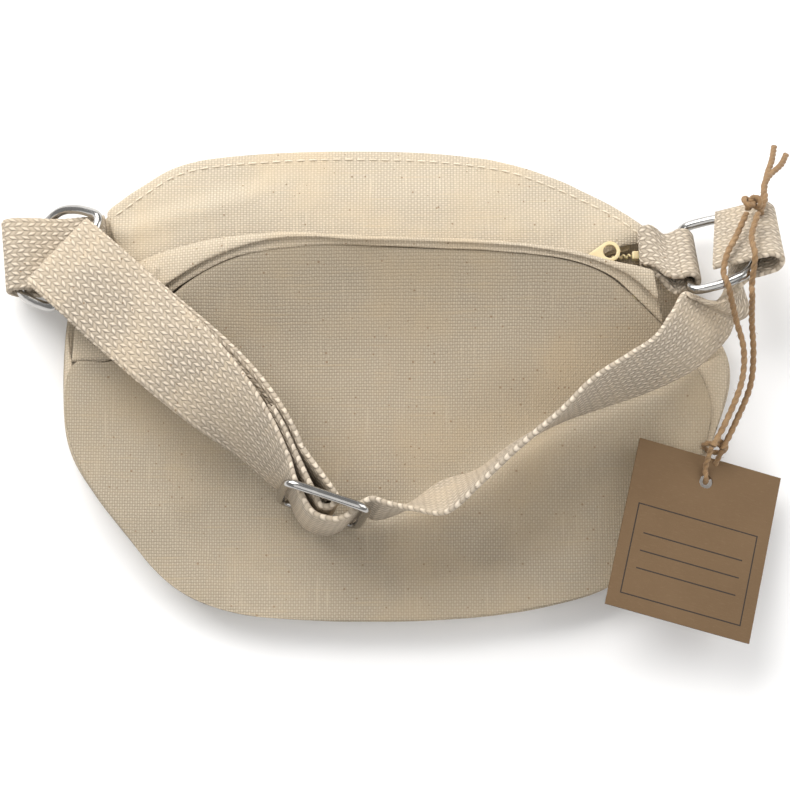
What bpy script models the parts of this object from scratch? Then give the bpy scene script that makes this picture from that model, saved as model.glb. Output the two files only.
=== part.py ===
"""Small cotton canvas treat pouch with a zip, a webbing strap on two D-rings and a kraft hang tag.

The pouch lies on its back panel. +X runs to the wearer's left along the zip, +Y runs from the
bottom of the pouch to its zip, +Z points out of the front panel. The origin is on the floor under
the middle of the back panel. Sizes are in millimetres and are turned into metres at the mesh.
"""

import math

import bpy
from mathutils import Vector

MM = 0.001

# Driving dimensions, in millimetres.
CANVAS = 1.0
WEBBING_WIDTH = 24.6
WEBBING = 1.7
RING_WIRE = 2.8
RING_INNER = 26.4
SLIDER_WIRE = 2.5
ZIP_Y = 27.5
ZIP_Z = 10.5
COIL = 1.6
COIL_GAP = 0.9
TAPE = 0.5
SLIDER_X = 44.0
ZIP_LEFT_X = -67.0
TAG_WIDTH = 41.0
TAG_HEIGHT = 48.0
TAG_CARD = 0.6
TWINE = 1.5
GAP = 0.3

# The seam of the back panel, anticlockwise from the left corner: x, y and height.
BACK_SEAM = [
    (-83, 49, 8), (-89, 35, 7), (-92.5, 18, 6), (-93, 0, 6), (-91.5, -15, 5), (-85.5, -27, 5),
    (-75, -40, 5), (-66, -50.5, 5), (-55, -58, 5), (-40, -62.5, 5), (-20, -63.6, 5), (0, -64.4, 5),
    (20, -63.9, 5), (42, -60.6, 5), (58, -55.6, 5), (71, -46, 5), (82, -31, 5), (89, -13, 5),
    (93.6, 2, 5.5), (93, 11, 6.5), (87, 19, 7), (81, 28, 7.6), (75.5, 36, 8.2), (71.6, 43.6, 8.6), (62, 51.4, 9),
    (54, 55.5, 8.5), (43, 61, 8), (30, 65.6, 8), (14, 67.7, 8), (-6, 68.6, 8), (-32, 68, 8),
    (-52, 66.6, 8), (-64, 63, 8), (-70, 59, 8), (-74, 55.2, 8),
]
# The seam of the front panel, anticlockwise from the left end of the lip.
FRONT_SEAM = [
    (-30, 37.1, 24.2), (-48, 33.2, 21), (-62, 24.8, 17.5), (-70.5, 14, 15), (-76, 7.2, 14.2),
    (-81, 5.6, 14), (-87, 7.6, 14.4), (-90.6, 6.6, 14.2), (-91.6, -3, 13.4), (-90.4, -15, 12.2),
    (-84.5, -27.5, 11.2), (-74.6, -40.5, 10.6), (-66, -51.6, 10.2), (-55.5, -59.2, 10),
    (-40, -63.8, 10), (-20, -64.9, 10), (2, -65, 10), (24, -63.6, 10), (44, -60.2, 10),
    (57, -56.4, 10), (69.4, -48, 10), (80, -33, 10.4), (86, -15, 11.2), (87.8, -5, 12),
    (83.6, 5, 13.6), (75, 15.6, 15.6), (66.5, 23.6, 18.2), (59, 29.4, 21.4), (47, 33.2, 24.2),
    (27, 35.2, 25.6), (5, 36.0, 25.8), (-14, 37.0, 25.2),
]
FRONT_CENTRE = (-8.0, -20.0, 8.6)
# The fold of the front zip band, from the left corner to the right corner.
LIP_FOLD = [
    (-74, 33.5, 14.6), (-66, 36.6, 16.4), (-56, 38.8, 19.4), (-42, 40.0, 23), (-28, 39.8, 25.6),
    (-8, 38.2, 27), (12, 37.6, 27), (30, 36.9, 26), (46, 35.4, 24.6), (59, 32.6, 22.8),
    (66, 31.7, 21.6), (71, 30.8, 20.8),
]
# The way of the front zip band under the fold: over the zip slider, then down to the zip tape.
BAND_OVER_ZIP = [(-72, 30, 14.6), (-58, 30, 15.2), (-44, 29.6, 16.4), (0, 29.6, 16.9), (44, 29.6, 16.9),
                 (58, 28.6, 16.8), (68.5, 28.6, 19.0)]
BAND_TURN = [(-72, 28.4, 14.0), (-58, 25.8, 14.0), (-44, 25.6, 15.6), (0, 25.4, 16.0), (44, 25.4, 16.0),
             (58, 25.6, 16.0), (68.6, 27.6, 18.7)]
BAND_UNDER = [(-72, 27, 13.6), (-60, 22.6, 12), (-30, 22, 12.2), (20, 22, 12.2), (52, 22, 12.4), (60, 24, 14.2),
              (68.6, 26.8, 18.4)]
# The edge of the rear zip band over the zip, and its seam on the back panel.
REAR_LOW = [(-76, 34, 10.6), (-60, 31.6, 11.8), (-20, 31.4, 11.8), (30, 31.4, 11.8), (46, 32.2, 11.8),
            (56, 36.6, 12), (63, 39.8, 12), (68.4, 40.8, 11.4)]
REAR_HIGH = [(-81.5, 50.4, 9.6), (-72, 57.4, 9.8), (-62, 63.6, 9.8), (-48, 66.6, 9.8), (-22, 68.2, 9.8),
             (8, 67.8, 9.8), (30, 65, 9.8), (45, 59.8, 9.8), (60, 52.4, 10.2), (70.6, 45.0, 10.4)]
REAR_CROWN = 0.8

# The left run of the strap, from the slider up to the left D-ring: its outer layer's middle line, then its width.
LEFT_RUN = [
    ((-31.0, -26.6, 26.6), (0.24, 0.10, 0.96)),
    ((-38.2, -17.2, 29.2), (0.40, 0.28, 0.87)),
    ((-49.0, -6.2, 30.0), (0.56, 0.52, 0.64)),
    ((-61.8, 6.4, 27.8), (0.66, 0.65, 0.37)),
    ((-74.6, 18.6, 24.0), (0.69, 0.69, 0.22)),
    ((-84.8, 28.4, 22.9), (0.69, 0.70, 0.14)),
    ((-92.0, 35.1, 20.6), (0.68, 0.71, 0.11)),
]
RUN_GAP = 5.6
SEWN_END = 15.0
# The right run of the strap as its two edges, upper edge first, from the slider to the right D-ring.
RIGHT_RUN = [
    ((4.6, -38.4, 36.8), (4.0, -33.4, 13.4)), ((13.4, -39.0, 35.4), (12.6, -27.6, 14.8)),
    ((22.6, -31.2, 37.0), (22.4, -24.4, 14.4)), ((32.6, -21.8, 37.8), (32.4, -17.0, 14.6)),
    ((43.4, -12.6, 38.2), (44.6, -10.4, 14.6)), ((52.6, -3.4, 37.6), (57.6, -5.8, 14.8)),
    ((62.0, 3.0, 36.6), (70.0, -1.4, 15.2)), ((69.6, 8.6, 34.4), (82.0, 4.6, 15.0)),
    ((74.2, 16.0, 32.0), (91.0, 12.6, 14.6)), ((77.6, 21.6, 30.0), (93.6, 18.0, 12.4)),
]
# The last stretch, measured on the right D-ring: along its bar, away from its bar, above its plane.
RIGHT_HOOK = [
    ((19.2, 0.6, 1.6), (9.6, 13.0, -16.0)), ((18.8, 5.0, -2.6), (0.6, 12.8, -14.0)),
    ((15.6, 9.6, -4.4), (-8.0, 12.8, -8.2)), ((11.0, 15.4, -3.4), (-12.4, 16.0, -3.8)),
    ((10.8, 20.6, -3.0), (-12.8, 21.4, -3.0)), ((10.8, 24.2, -2.6), (-12.8, 24.6, -2.6)),
    ((10.8, 26.0, 0.0), (-12.8, 26.4, 0.0)), ((10.8, 24.2, 2.6), (-12.8, 24.6, 2.6)),
    ((10.8, 20.4, 3.1), (-12.8, 21.0, 3.1)), ((10.8, 14.0, 3.1), (-12.8, 15.0, 3.1)),
    ((10.8, 7.4, 3.2), (-12.8, 11.0, 3.2)),
]

# Tabs: webbing loops sewn into the corners of the pouch.
LEFT_TAB = [(-80.4, 38.0, 11.4), (-86.0, 37.8, 10.4), (-91.0, 37.6, 9.0), (-96.0, 37.6, 5.8), (-102.0, 37.6, 3.6),
            (-107.0, 37.6, 4.4), (-109.0, 37.6, 7.8), (-107.4, 37.6, 11.4), (-103.0, 37.6, 12.3), (-97.0, 37.6, 11.4),
            (-91.4, 37.6, 11.2), (-86.0, 37.8, 12.4), (-80.4, 38.0, 13.3)]
LEFT_TAB_WIDE = (-0.10, 0.995, 0.0)
TAB_WIDTH = 21.0
# The right tab wraps the bar of the right D-ring and ends over the rear zip band.
RIGHT_TAB_ROOT = [((67.4, 38.4, 14.2), (0.05, -0.99, 0.06), 11.0), ((71.0, 37.4, 14.6), (0.05, -0.95, 0.30), 14.0)]
RIGHT_TAB_END = [((71.0, 38.4, 17.0), (0.05, -0.95, 0.30), 14.0), ((67.4, 38.6, 16.4), (0.05, -0.99, 0.06), 11.0)]

# D-rings: middle of the straight bar, direction along the bar and direction to the round side.
LEFT_RING = ((-87.4, 33.4, 18.8), (0.42, 0.906, 0.02), (-0.75, 0.34, -0.57))
RIGHT_RING = ((79.9, 34.8, 16.4), (0.03, -0.79, 0.615), (0.957, 0.2, 0.21))
RING_DEPTH = 19.6
RING_SHAPE = [(-0.75, 0), (0, 0), (0.75, 0), (0.95, 0.05), (1.0, 0.2), (0.98, 0.55), (0.84, 0.84), (0.48, 0.98), (0, 1.0),
              (-0.48, 0.98), (-0.84, 0.84), (-0.98, 0.55), (-1.0, 0.2), (-0.95, 0.05)]

# Strap slider: middle, direction across the webbing and direction along the webbing.
BUCKLE = ((-19.6, -35.4, 25.6), (0.115, 0.0, 0.993), (0.95, -0.30, -0.10))
BUCKLE_LENGTH = 31.0
BUCKLE_WIDTH = 25.0
# The webbing through the slider, measured along the slider and out of its plane.
THREADED = [(-9.3, -1.6), (-6.0, 2.0), (-3.0, 4.6), (0.0, 5.4), (4.0, 4.8), (6.6, 2.8), (8.3, 0.0), (11.4, -3.4), (16.0, -3.6)]

# The hang tag: middle, and the directions of its width and its height.
TAG_MIDDLE = (80.8, -43.4, 14.9)
TAG_ACROSS = (0.955, -0.245, -0.17)
TAG_UP = (0.225, 0.966, -0.13)

# The twine's two strands over the right D-ring, measured on the ring, then down to the tag.
STRAND_OVER = [(-2.6, 19.6, 8.4), (4, 15.6, 6.8), (10, 12.0, 6.0), (14.6, 10.0, 3.8), (18.6, 10.4, 2.4)]
STRAND_OVER_DOWN = [(92.6, 15.8, 24.4), (95, 8.3, 20.4), (94.5, -0.4, 17.2), (90.0, -11.2, 17.0), (86.2, -18.0, 17.8)]
STRAND_BEHIND = [(-1.0, 22.6, 8.6), (6.4, 19.6, 7.2), (12.4, 19.4, 5.6), (14.4, 17.6, 1.0), (15.4, 16.4, -2.4), (18.2, 16.0, -3.0)]
STRAND_BEHIND_DOWN = [(97.4, 16.4, 20.6), (98.2, 7.8, 16.0), (97.2, -1.0, 14.0), (92.6, -11.6, 14.4), (89.0, -18.6, 15.4)]
KNOT = (-6.0, 21.6, 8.8)
TAIL_LEFT = [(-9.6, 19.0, 8.6), (101.4, 53.6, 18.6), (105.0, 60.0, 12.8), (106.8, 66.4, 7.4), (107.6, 72.0, 3.2)]
TAIL_RIGHT = [(-9.2, 24.6, 8.0), (106.9, 53.4, 17.6), (108.8, 59.4, 12.0), (111.2, 64.6, 7.0), (111.8, 70.0, 2.8)]


def clear_scene():
    for thing in list(bpy.data.objects):
        bpy.data.objects.remove(thing, do_unlink=True)


def make_material(name, colour, roughness, metallic=0.0):
    material = bpy.data.materials.new(name)
    material.use_nodes = True
    shader = material.node_tree.nodes["Principled BSDF"]
    shader.inputs["Base Color"].default_value = (*colour, 1.0)
    shader.inputs["Roughness"].default_value = roughness
    shader.inputs["Metallic"].default_value = metallic
    material.diffuse_color = (*colour, 1.0)
    return material


def add_object(name, points, faces, material):
    mesh = bpy.data.meshes.new(name)
    mesh.from_pydata([tuple(Vector(p) * MM) for p in points], [], faces)
    mesh.validate()
    mesh.materials.append(material)
    mesh.shade_smooth()
    mesh.set_sharp_from_angle(angle=math.radians(40))
    thing = bpy.data.objects.new(name, mesh)
    bpy.context.scene.collection.objects.link(thing)
    return thing


def spline(points, count, closed=False):
    """Evenly spaced points on a Catmull-Rom curve through the given points."""
    points = [Vector(p) for p in points]
    total = len(points)
    spans = total if closed else total - 1
    fine = 12
    dense = []
    for i in range(spans):
        if closed:
            a, b, c, d = (points[(i + k) % total] for k in (-1, 0, 1, 2))
        else:
            b, c = points[i], points[i + 1]
            a = points[i - 1] if i else b * 2 - c
            d = points[i + 2] if i + 2 < total else c * 2 - b
        for k in range(fine):
            t = k / fine
            dense.append(0.5 * (2 * b + (c - a) * t + (2 * a - 5 * b + 4 * c - d) * t**2
                                + (3 * b - a - 3 * c + d) * t**3))
    dense.append(dense[0].copy() if closed else points[-1].copy())
    return even(dense, count, closed)


def even(dense, count, closed=False):
    """The same line as count points at equal distances along it."""
    lengths = [0.0]
    for first, second in zip(dense, dense[1:]):
        lengths.append(lengths[-1] + (second - first).length)
    steps = count if closed else count - 1
    out = []
    place = 0
    for k in range(count):
        wanted = lengths[-1] * k / steps
        while place < len(dense) - 2 and lengths[place + 1] < wanted:
            place += 1
        span = lengths[place + 1] - lengths[place]
        share = (wanted - lengths[place]) / span if span else 0.0
        out.append(dense[place].lerp(dense[place + 1], share))
    return out


def grid_normals(rows):
    """The normal of a grid of points at each of them."""
    height, width = len(rows), len(rows[0])
    out = []
    for r in range(height):
        line = []
        for c in range(width):
            over = rows[min(r + 1, height - 1)][c] - rows[max(r - 1, 0)][c]
            along = rows[r][min(c + 1, width - 1)] - rows[r][max(c - 1, 0)]
            line.append(along.cross(over).normalized())
        out.append(line)
    return out


def sheet(name, rows, thickness, material):
    """A closed sheet from an open grid of points, half its thickness to each side of them."""
    height, width = len(rows), len(rows[0])
    flat = [p for row in rows for p in row]
    normals = [n for line in grid_normals(rows) for n in line]
    points = [p + n * thickness / 2 for p, n in zip(flat, normals)]
    points += [p - n * thickness / 2 for p, n in zip(flat, normals)]
    under = len(flat)
    faces = []
    for r in range(height - 1):
        for c in range(width - 1):
            a, b = r * width + c, r * width + c + 1
            d, e = a + width, b + width
            faces.append((a, b, e, d))
            faces.append((under + a, under + d, under + e, under + b))
    rim = list(range(width))
    rim += [r * width + width - 1 for r in range(1, height)]
    rim += [(height - 1) * width + c for c in range(width - 2, -1, -1)]
    rim += [r * width for r in range(height - 2, 0, -1)]
    for first, second in zip(rim, rim[1:] + rim[:1]):
        faces.append((second, first, under + first, under + second))
    return outward(add_object(name, points, faces, material))


def outward(thing):
    """Turns the faces out if the mesh encloses a negative volume."""
    mesh = thing.data
    mesh.calc_loop_triangles()
    volume = 0.0
    for triangle in mesh.loop_triangles:
        a, b, c = (mesh.vertices[i].co for i in triangle.vertices)
        volume += a.dot(b.cross(c))
    if volume < 0:
        mesh.flip_normals()
    return thing


def disc(name, outline, centre, rings, height, thickness, material):
    """A closed sheet that fills an outline, with its height from a function of share and angle."""
    around = len(outline)
    centre = Vector(centre)
    top = []
    for ring in range(rings):
        share = 1 - ring / rings
        top += [height(centre.lerp(p, share), share, p) for p in outline]
    top.append(height(centre.copy(), 0.0, centre))
    points = top + [p - Vector((0, 0, thickness)) for p in top]
    under = len(top)
    faces = []
    for ring in range(rings - 1):
        for k in range(around):
            a, b = ring * around + k, ring * around + (k + 1) % around
            faces.append((a, b, b + around, a + around))
            faces.append((under + a, under + a + around, under + b + around, under + b))
    last = (rings - 1) * around
    for k in range(around):
        a, b = last + k, last + (k + 1) % around
        faces.append((a, b, under - 1))
        faces.append((under + b, under + a, 2 * under - 1))
        faces.append(((k + 1) % around, k, under + k, under + (k + 1) % around))
    return outward(add_object(name, points, faces, material))


def sections(name, rings, material, closed=False):
    """A closed solid through a row of cross-sections with equal point counts."""
    sides = len(rings[0])
    points = [p for ring in rings for p in ring]
    faces = []
    for k in range(len(rings) if closed else len(rings) - 1):
        first, second = k * sides, (k + 1) % len(rings) * sides
        for s in range(sides):
            t = (s + 1) % sides
            faces.append((first + s, first + t, second + t, second + s))
    if not closed:
        faces.append(tuple(range(sides - 1, -1, -1)))
        faces.append(tuple((len(rings) - 1) * sides + s for s in range(sides)))
    return outward(add_object(name, points, faces, material))


def spline_pairs(knots, values, count):
    """A smooth line through the knots, with the values blended the same way."""
    total = len(knots)
    fine = 12
    dense, carried = [], []
    for source, out in ((knots, dense), (values, carried)):
        for i in range(total - 1):
            b, c = source[i], source[i + 1]
            a = source[i - 1] if i else b * 2 - c
            d = source[i + 2] if i + 2 < total else c * 2 - b
            for k in range(fine):
                t = k / fine
                out.append(0.5 * (2 * b + (c - a) * t + (2 * a - 5 * b + 4 * c - d) * t**2
                                  + (3 * b - a - 3 * c + d) * t**3))
        out.append(source[-1].copy())
    lengths = [0.0]
    for first, second in zip(dense, dense[1:]):
        lengths.append(lengths[-1] + (second - first).length)
    line, sides = [], []
    place = 0
    for k in range(count):
        wanted = lengths[-1] * k / (count - 1)
        while place < len(dense) - 2 and lengths[place + 1] < wanted:
            place += 1
        span = lengths[place + 1] - lengths[place]
        share = (wanted - lengths[place]) / span if span else 0.0
        line.append(dense[place].lerp(dense[place + 1], share))
        sides.append(carried[place].lerp(carried[place + 1], share))
    return line, sides


def tangents(points, closed=False):
    total = len(points)
    out = []
    for k in range(total):
        before = points[(k - 1) % total] if closed or k else points[0]
        after = points[(k + 1) % total] if closed or k < total - 1 else points[-1]
        out.append((after - before).normalized())
    return out


def ribbon(name, middles, across, width, thickness, material):
    """Webbing along a line: across gives its width direction at each point."""
    widths = width if isinstance(width, list) else [width] * len(middles)
    rings = []
    for middle, along, side, wide in zip(middles, tangents(middles), across, widths):
        side = side.normalized()
        up = side.cross(along).normalized()
        rings.append([middle + side * wide / 2 * a + up * thickness / 2 * b
                      for a, b in ((-1, -0.6), (-0.93, -1), (0.93, -1), (1, -0.6),
                                   (1, 0.6), (0.93, 1), (-0.93, 1), (-1, 0.6))])
    return sections(name, rings, material)


def wire(name, points, radius, normal, material, closed=True, sides=10):
    """Round wire bent in a plane with the given normal."""
    normal = Vector(normal).normalized()
    rings = []
    for point, along in zip(points, tangents(points, closed)):
        out = along.cross(normal).normalized()
        rings.append([point + radius * (out * math.cos(a) + normal * math.sin(a))
                      for a in (2 * math.pi * k / sides for k in range(sides))])
    return sections(name, rings, material, closed)


def cord(name, points, diameter, material):
    """A tube along a smooth line, as a curve with filled caps."""
    curve = bpy.data.curves.new(name, "CURVE")
    curve.dimensions = "3D"
    curve.bevel_depth = diameter / 2 * MM
    curve.bevel_resolution = 2
    curve.use_fill_caps = True
    line = curve.splines.new("POLY")
    line.points.add(len(points) - 1)
    for place, point in zip(line.points, points):
        place.co = (*(point * MM), 1.0)
    curve.materials.append(material)
    thing = bpy.data.objects.new(name, curve)
    bpy.context.scene.collection.objects.link(thing)
    return thing


def box(low, high):
    """Corners and faces of an upright box."""
    xs, ys, zs = zip(low, high)
    points = [Vector((x, y, z)) for z in zs for y in ys for x in xs]
    faces = [(0, 2, 3, 1), (4, 5, 7, 6), (0, 1, 5, 4), (2, 6, 7, 3), (0, 4, 6, 2), (1, 3, 7, 5)]
    return points, faces


def joined(name, boxes, material):
    """One body made of overlapping boxes."""
    first = outward(add_object(name, *box(*boxes[0]), material))
    for number, corners in enumerate(boxes[1:], 1):
        helper = outward(add_object(f"{name}_helper_{number}", *box(*corners), material))
        helper.hide_render = True
        helper.display_type = "WIRE"
        union = first.modifiers.new(f"union_{number}", "BOOLEAN")
        union.operation = "UNION"
        union.object = helper
    return first


def smoothstep(value):
    value = max(0.0, min(1.0, value))
    return value * value * (3 - 2 * value)


def back_panel(material):
    """Flat on the floor in the middle, turned up to its seam round the edge."""

    def height(point, share, rim):
        lift = smoothstep((share - 0.62) / 0.38)
        return Vector((point.x, point.y, CANVAS + (rim.z - CANVAS) * lift))

    disc("back_panel", spline(BACK_SEAM, 72, True), (0, 2, CANVAS), 7, height, CANVAS, material)


def front_height(point, share, rim):
    """The front panel sinks from its seam to a soft hollow."""
    drop = share ** 2.3
    z = FRONT_CENTRE[2] + (rim.z - FRONT_CENTRE[2]) * drop
    return Vector((point.x, point.y, z + 0.3 * share))


def front_panel(material):
    disc("front_panel", spline(FRONT_SEAM, 72, True), FRONT_CENTRE, 9, front_height, CANVAS, material)


def inward(points, amount, centre=(0.0, 0.0)):
    """The same points moved towards the middle by a fixed distance."""
    out = []
    for p in points:
        flat = Vector((centre[0] - p.x, centre[1] - p.y, 0)).normalized()
        out.append(p + flat * amount)
    return out


def gusset(material):
    """The side and bottom strip, from the left tab round the bottom to the right tab."""
    count = 60
    low = spline(BACK_SEAM[2:20], count)
    high = spline([(-91.2, 4, 14.1)] + FRONT_SEAM[8:25], count)
    rows = [
        [p + Vector((0, 0, 0.9 + CANVAS)) for p in inward(low, 1.4)],
        [a.lerp(b, 0.35) + Vector((0, 0, 0.5)) for a, b in zip(inward(low, 1.2), inward(high, 1.0))],
        [a.lerp(b, 0.7) + Vector((0, 0, -0.6)) for a, b in zip(inward(low, 1.2), inward(high, 1.8))],
        [p - Vector((0, 0, CANVAS + 1.1)) for p in inward(high, 2.4)],
    ]
    sheet("side_gusset", rows, CANVAS, material)


def front_band(material):
    """The front zip band: from the front panel's seam over the lip and back under it to the zip."""
    count = 44
    fold = spline(LIP_FOLD, count)
    seam = spline([(-73.6, 20, 15.6), (-64, 26.4, 18.9), (-49, 34.6, 22.4), (-30, 38.6, 25.9), (-10, 37.6, 27.1),
                   (14, 37.2, 27.1), (34, 36.0, 26.4), (50, 33.8, 24.6), (61, 30.6, 22.4), (67, 27.0, 20.4),
                   (72.4, 21.8, 19.2)], count)
    rows = []
    for share, drop in ((0.0, 0.0), (0.35, 0.5), (0.7, 0.6)):
        rows.append([a.lerp(b, share) + Vector((0, 0, drop)) for a, b in zip(seam, fold)])
    rows.append(fold)
    rows.append([p + Vector((0, -0.1, -2.4)) for p in fold])
    for line in (BAND_OVER_ZIP, BAND_TURN, BAND_UNDER):
        rows.append(spline(line, count))
    sheet("front_zip_band", rows, CANVAS, material)


def rear_band(material):
    """The strip between the zip and the top seam of the back panel."""
    count = 44
    low, high = spline(REAR_LOW, count), spline(REAR_HIGH, count)
    rows = []
    for k in range(7):
        share = k / 6
        crown = Vector((0, 0, REAR_CROWN * math.sin(math.pi * share)))
        rows.append([a.lerp(b, share) + crown for a, b in zip(low, high)])
    sheet("rear_zip_band", rows, CANVAS, material)


def zip_line(offset, opening):
    """One coil's middle line: straight while closed, then bowed out by opening at the open end."""
    points = [Vector((ZIP_LEFT_X, ZIP_Y + offset, ZIP_Z)), Vector((0, ZIP_Y + offset, ZIP_Z)),
              Vector((SLIDER_X - 1, ZIP_Y + offset, ZIP_Z)), Vector((47.5, ZIP_Y + offset + 0.03 * opening, ZIP_Z)),
              Vector((54, ZIP_Y + offset + 0.52 * opening, ZIP_Z + 0.2)),
              Vector((60, ZIP_Y + offset + 0.9 * opening, ZIP_Z + 0.3)),
              Vector((65.5, ZIP_Y + offset + opening, ZIP_Z))]
    return spline(points, 40)


def zip_parts(nylon, tape):
    """Two coils, two tapes, stops at both ends, the slider and its pull tab."""
    reach = COIL_GAP / 2 + COIL / 2
    rear, front = zip_line(reach, 8.6), zip_line(-reach, -0.6)
    for name, line in (("zip_coil_rear", rear), ("zip_coil_front", front)):
        wire(name, line, COIL / 2, (0, 0, 1), nylon, closed=False, sides=8)
    for name, line, side in (("zip_tape_rear", rear, 1), ("zip_tape_front", front, -1)):
        near = [p + Vector((0, side * (COIL / 2 + 0.6), 0)) for p in line]
        far = [Vector((p.x, p.y + side * 4.4, p.z - 1.6)) for p in near]
        middle = [Vector((p.x, p.y + side * 2.2, p.z - 1.2)) for p in near]
        sheet(name, [near, middle, far], TAPE, tape)
    stop_z = (ZIP_Z - 1.3, ZIP_Z + 1.5)
    left = ZIP_LEFT_X - 2.6
    joined("zip_bottom_stop", [((left, ZIP_Y - 2.4, stop_z[0]), (left + 2.2, ZIP_Y + 2.4, stop_z[1]))], nylon)
    for name, line in (("zip_top_stop_rear", rear), ("zip_top_stop_front", front)):
        end = line[-1]
        joined(name, [((end.x + GAP, end.y - 1.2, stop_z[0]), (end.x + 2.3, end.y + 1.2, stop_z[1]))], nylon)


def slider_body(material):
    """Two plates joined by a post, with a bridge on top that holds the pull tab."""
    x, y, z = SLIDER_X, ZIP_Y, ZIP_Z
    top, low = z + COIL / 2 + 0.4, z - COIL / 2 - 0.4
    plate = 1.0
    post = (COIL_GAP - 0.3) / 2
    joined("zip_slider", [
        ((x - 5, y - 3.6, top), (x + 4, y + 3.6, top + plate)),
        ((x - 5, y - 3.6, low - plate), (x + 4, y + 3.6, low)),
        ((x + 1.2, y - post, low - 0.5), (x + 3.4, y + post, top + 0.5)),
        ((x - 3.6, y - 0.9, top + 0.5), (x - 2.4, y + 0.9, top + 3.2)),
        ((x + 1.4, y - 0.9, top + 0.5), (x + 2.6, y + 0.9, top + 3.2)),
        ((x - 3.6, y - 0.9, top + 2.6), (x + 2.6, y + 0.9, top + 3.6)),
    ], material)


def pull_tab(material):
    """A flat tapered tab with a round hole at its free end and a slot over the bridge."""
    z = ZIP_Z + COIL / 2 + 0.4 + 1.0 + 0.35
    angle = math.radians(33)
    length, thick = 19.0, 1.0
    outline = []
    for k in range(15):
        a = math.radians(-100 + 200 * k / 14)
        outline.append(Vector((length + 2.9 * math.cos(a), 2.9 * math.sin(a), 0)))
    outline += [Vector((10, 2.5, 0)), Vector((4.4, 2.1, 0)), Vector((3.6, 1.5, 0)), Vector((3.6, -1.5, 0)),
                Vector((4.4, -2.1, 0)), Vector((10, -2.5, 0))]
    hole = [Vector((length + 1.9 * math.cos(a), 1.9 * math.sin(a), 0))
            for a in (2 * math.pi * k / 16 for k in range(16))]
    turn = Vector((math.cos(angle), math.sin(angle)))

    def place(p, up):
        return Vector((SLIDER_X - 0.5 + p.x * turn.x - p.y * turn.y, ZIP_Y + p.x * turn.y + p.y * turn.x, z + up))

    total = len(outline)
    points = [place(p, up) for up in (thick, 0) for p in outline]
    sides = [(k, (k + 1) % total, total + (k + 1) % total, total + k) for k in range(total)]
    faces = sides + [tuple(range(total - 1, -1, -1)), tuple(range(total, 2 * total))]
    tab = outward(add_object("zip_pull_tab", points, faces, material))
    holes = len(hole)
    drill = [place(p, up) for up in (thick + 1, -1) for p in hole]
    faces = [(k, (k + 1) % holes, holes + (k + 1) % holes, holes + k) for k in range(holes)]
    faces += [tuple(range(holes - 1, -1, -1)), tuple(range(holes, 2 * holes))]
    cutter = outward(add_object("pull_tab_drill", drill, faces, material))
    cutter.hide_render = True
    cutter.display_type = "WIRE"
    cut = tab.modifiers.new("hole", "BOOLEAN")
    cut.operation = "DIFFERENCE"
    cut.object = cutter


def on_ring(ring, place):
    """A point measured on a D-ring: along its bar, away from its bar, above its plane."""
    bar, along, deep = (Vector(v) for v in ring)
    along.normalize()
    deep = (deep - along * deep.dot(along)).normalized()
    return bar + along * place[0] + deep * place[1] + along.cross(deep) * place[2]


def d_ring(name, ring, material):
    """Steel wire bent to a D: a straight bar and a round side."""
    half = RING_INNER / 2 + RING_WIRE / 2
    points = [on_ring(ring, (a * half, b * RING_DEPTH, 0)) for a, b in RING_SHAPE]
    normal = on_ring(ring, (0, 0, 1)) - on_ring(ring, (0, 0, 0))
    wire(name, spline(points, 48, True), RING_WIRE / 2, normal, material)


def on_buckle(along, out, across=0.0):
    """A point measured on the strap slider: along the webbing, out of its plane, across the webbing."""
    middle, wide, long = (Vector(v) for v in BUCKLE)
    wide.normalize()
    long = (long - wide * long.dot(wide)).normalized()
    return middle + long * along - wide.cross(long) * out + wide * across


def buckle(material):
    """The strap slider: a wire frame and a centre bar between its two short sides."""
    half, wide = BUCKLE_LENGTH / 2 - SLIDER_WIRE / 2, BUCKLE_WIDTH / 2 - SLIDER_WIRE / 2
    corner = 2.5
    points = []
    for turn, (a, b) in enumerate(((1, 1), (-1, 1), (-1, -1), (1, -1))):
        for k in range(6):
            angle = math.pi / 2 * (turn + k / 5)
            points.append(on_buckle(b * (wide - corner) + corner * math.sin(angle), 0,
                                    a * (half - corner) + corner * math.cos(angle)))
    normal = on_buckle(0, 1) - on_buckle(0, 0)
    wire("slider_frame", even(points + points[:1], 48, True), SLIDER_WIRE / 2, normal, material)
    reach = half - SLIDER_WIRE / 2 - GAP
    bar = [on_buckle(0, 0, reach * (2 * k / 8 - 1)) for k in range(9)]
    wire("slider_centre_bar", bar, SLIDER_WIRE / 2 - 0.1, normal, material, closed=False)


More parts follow.
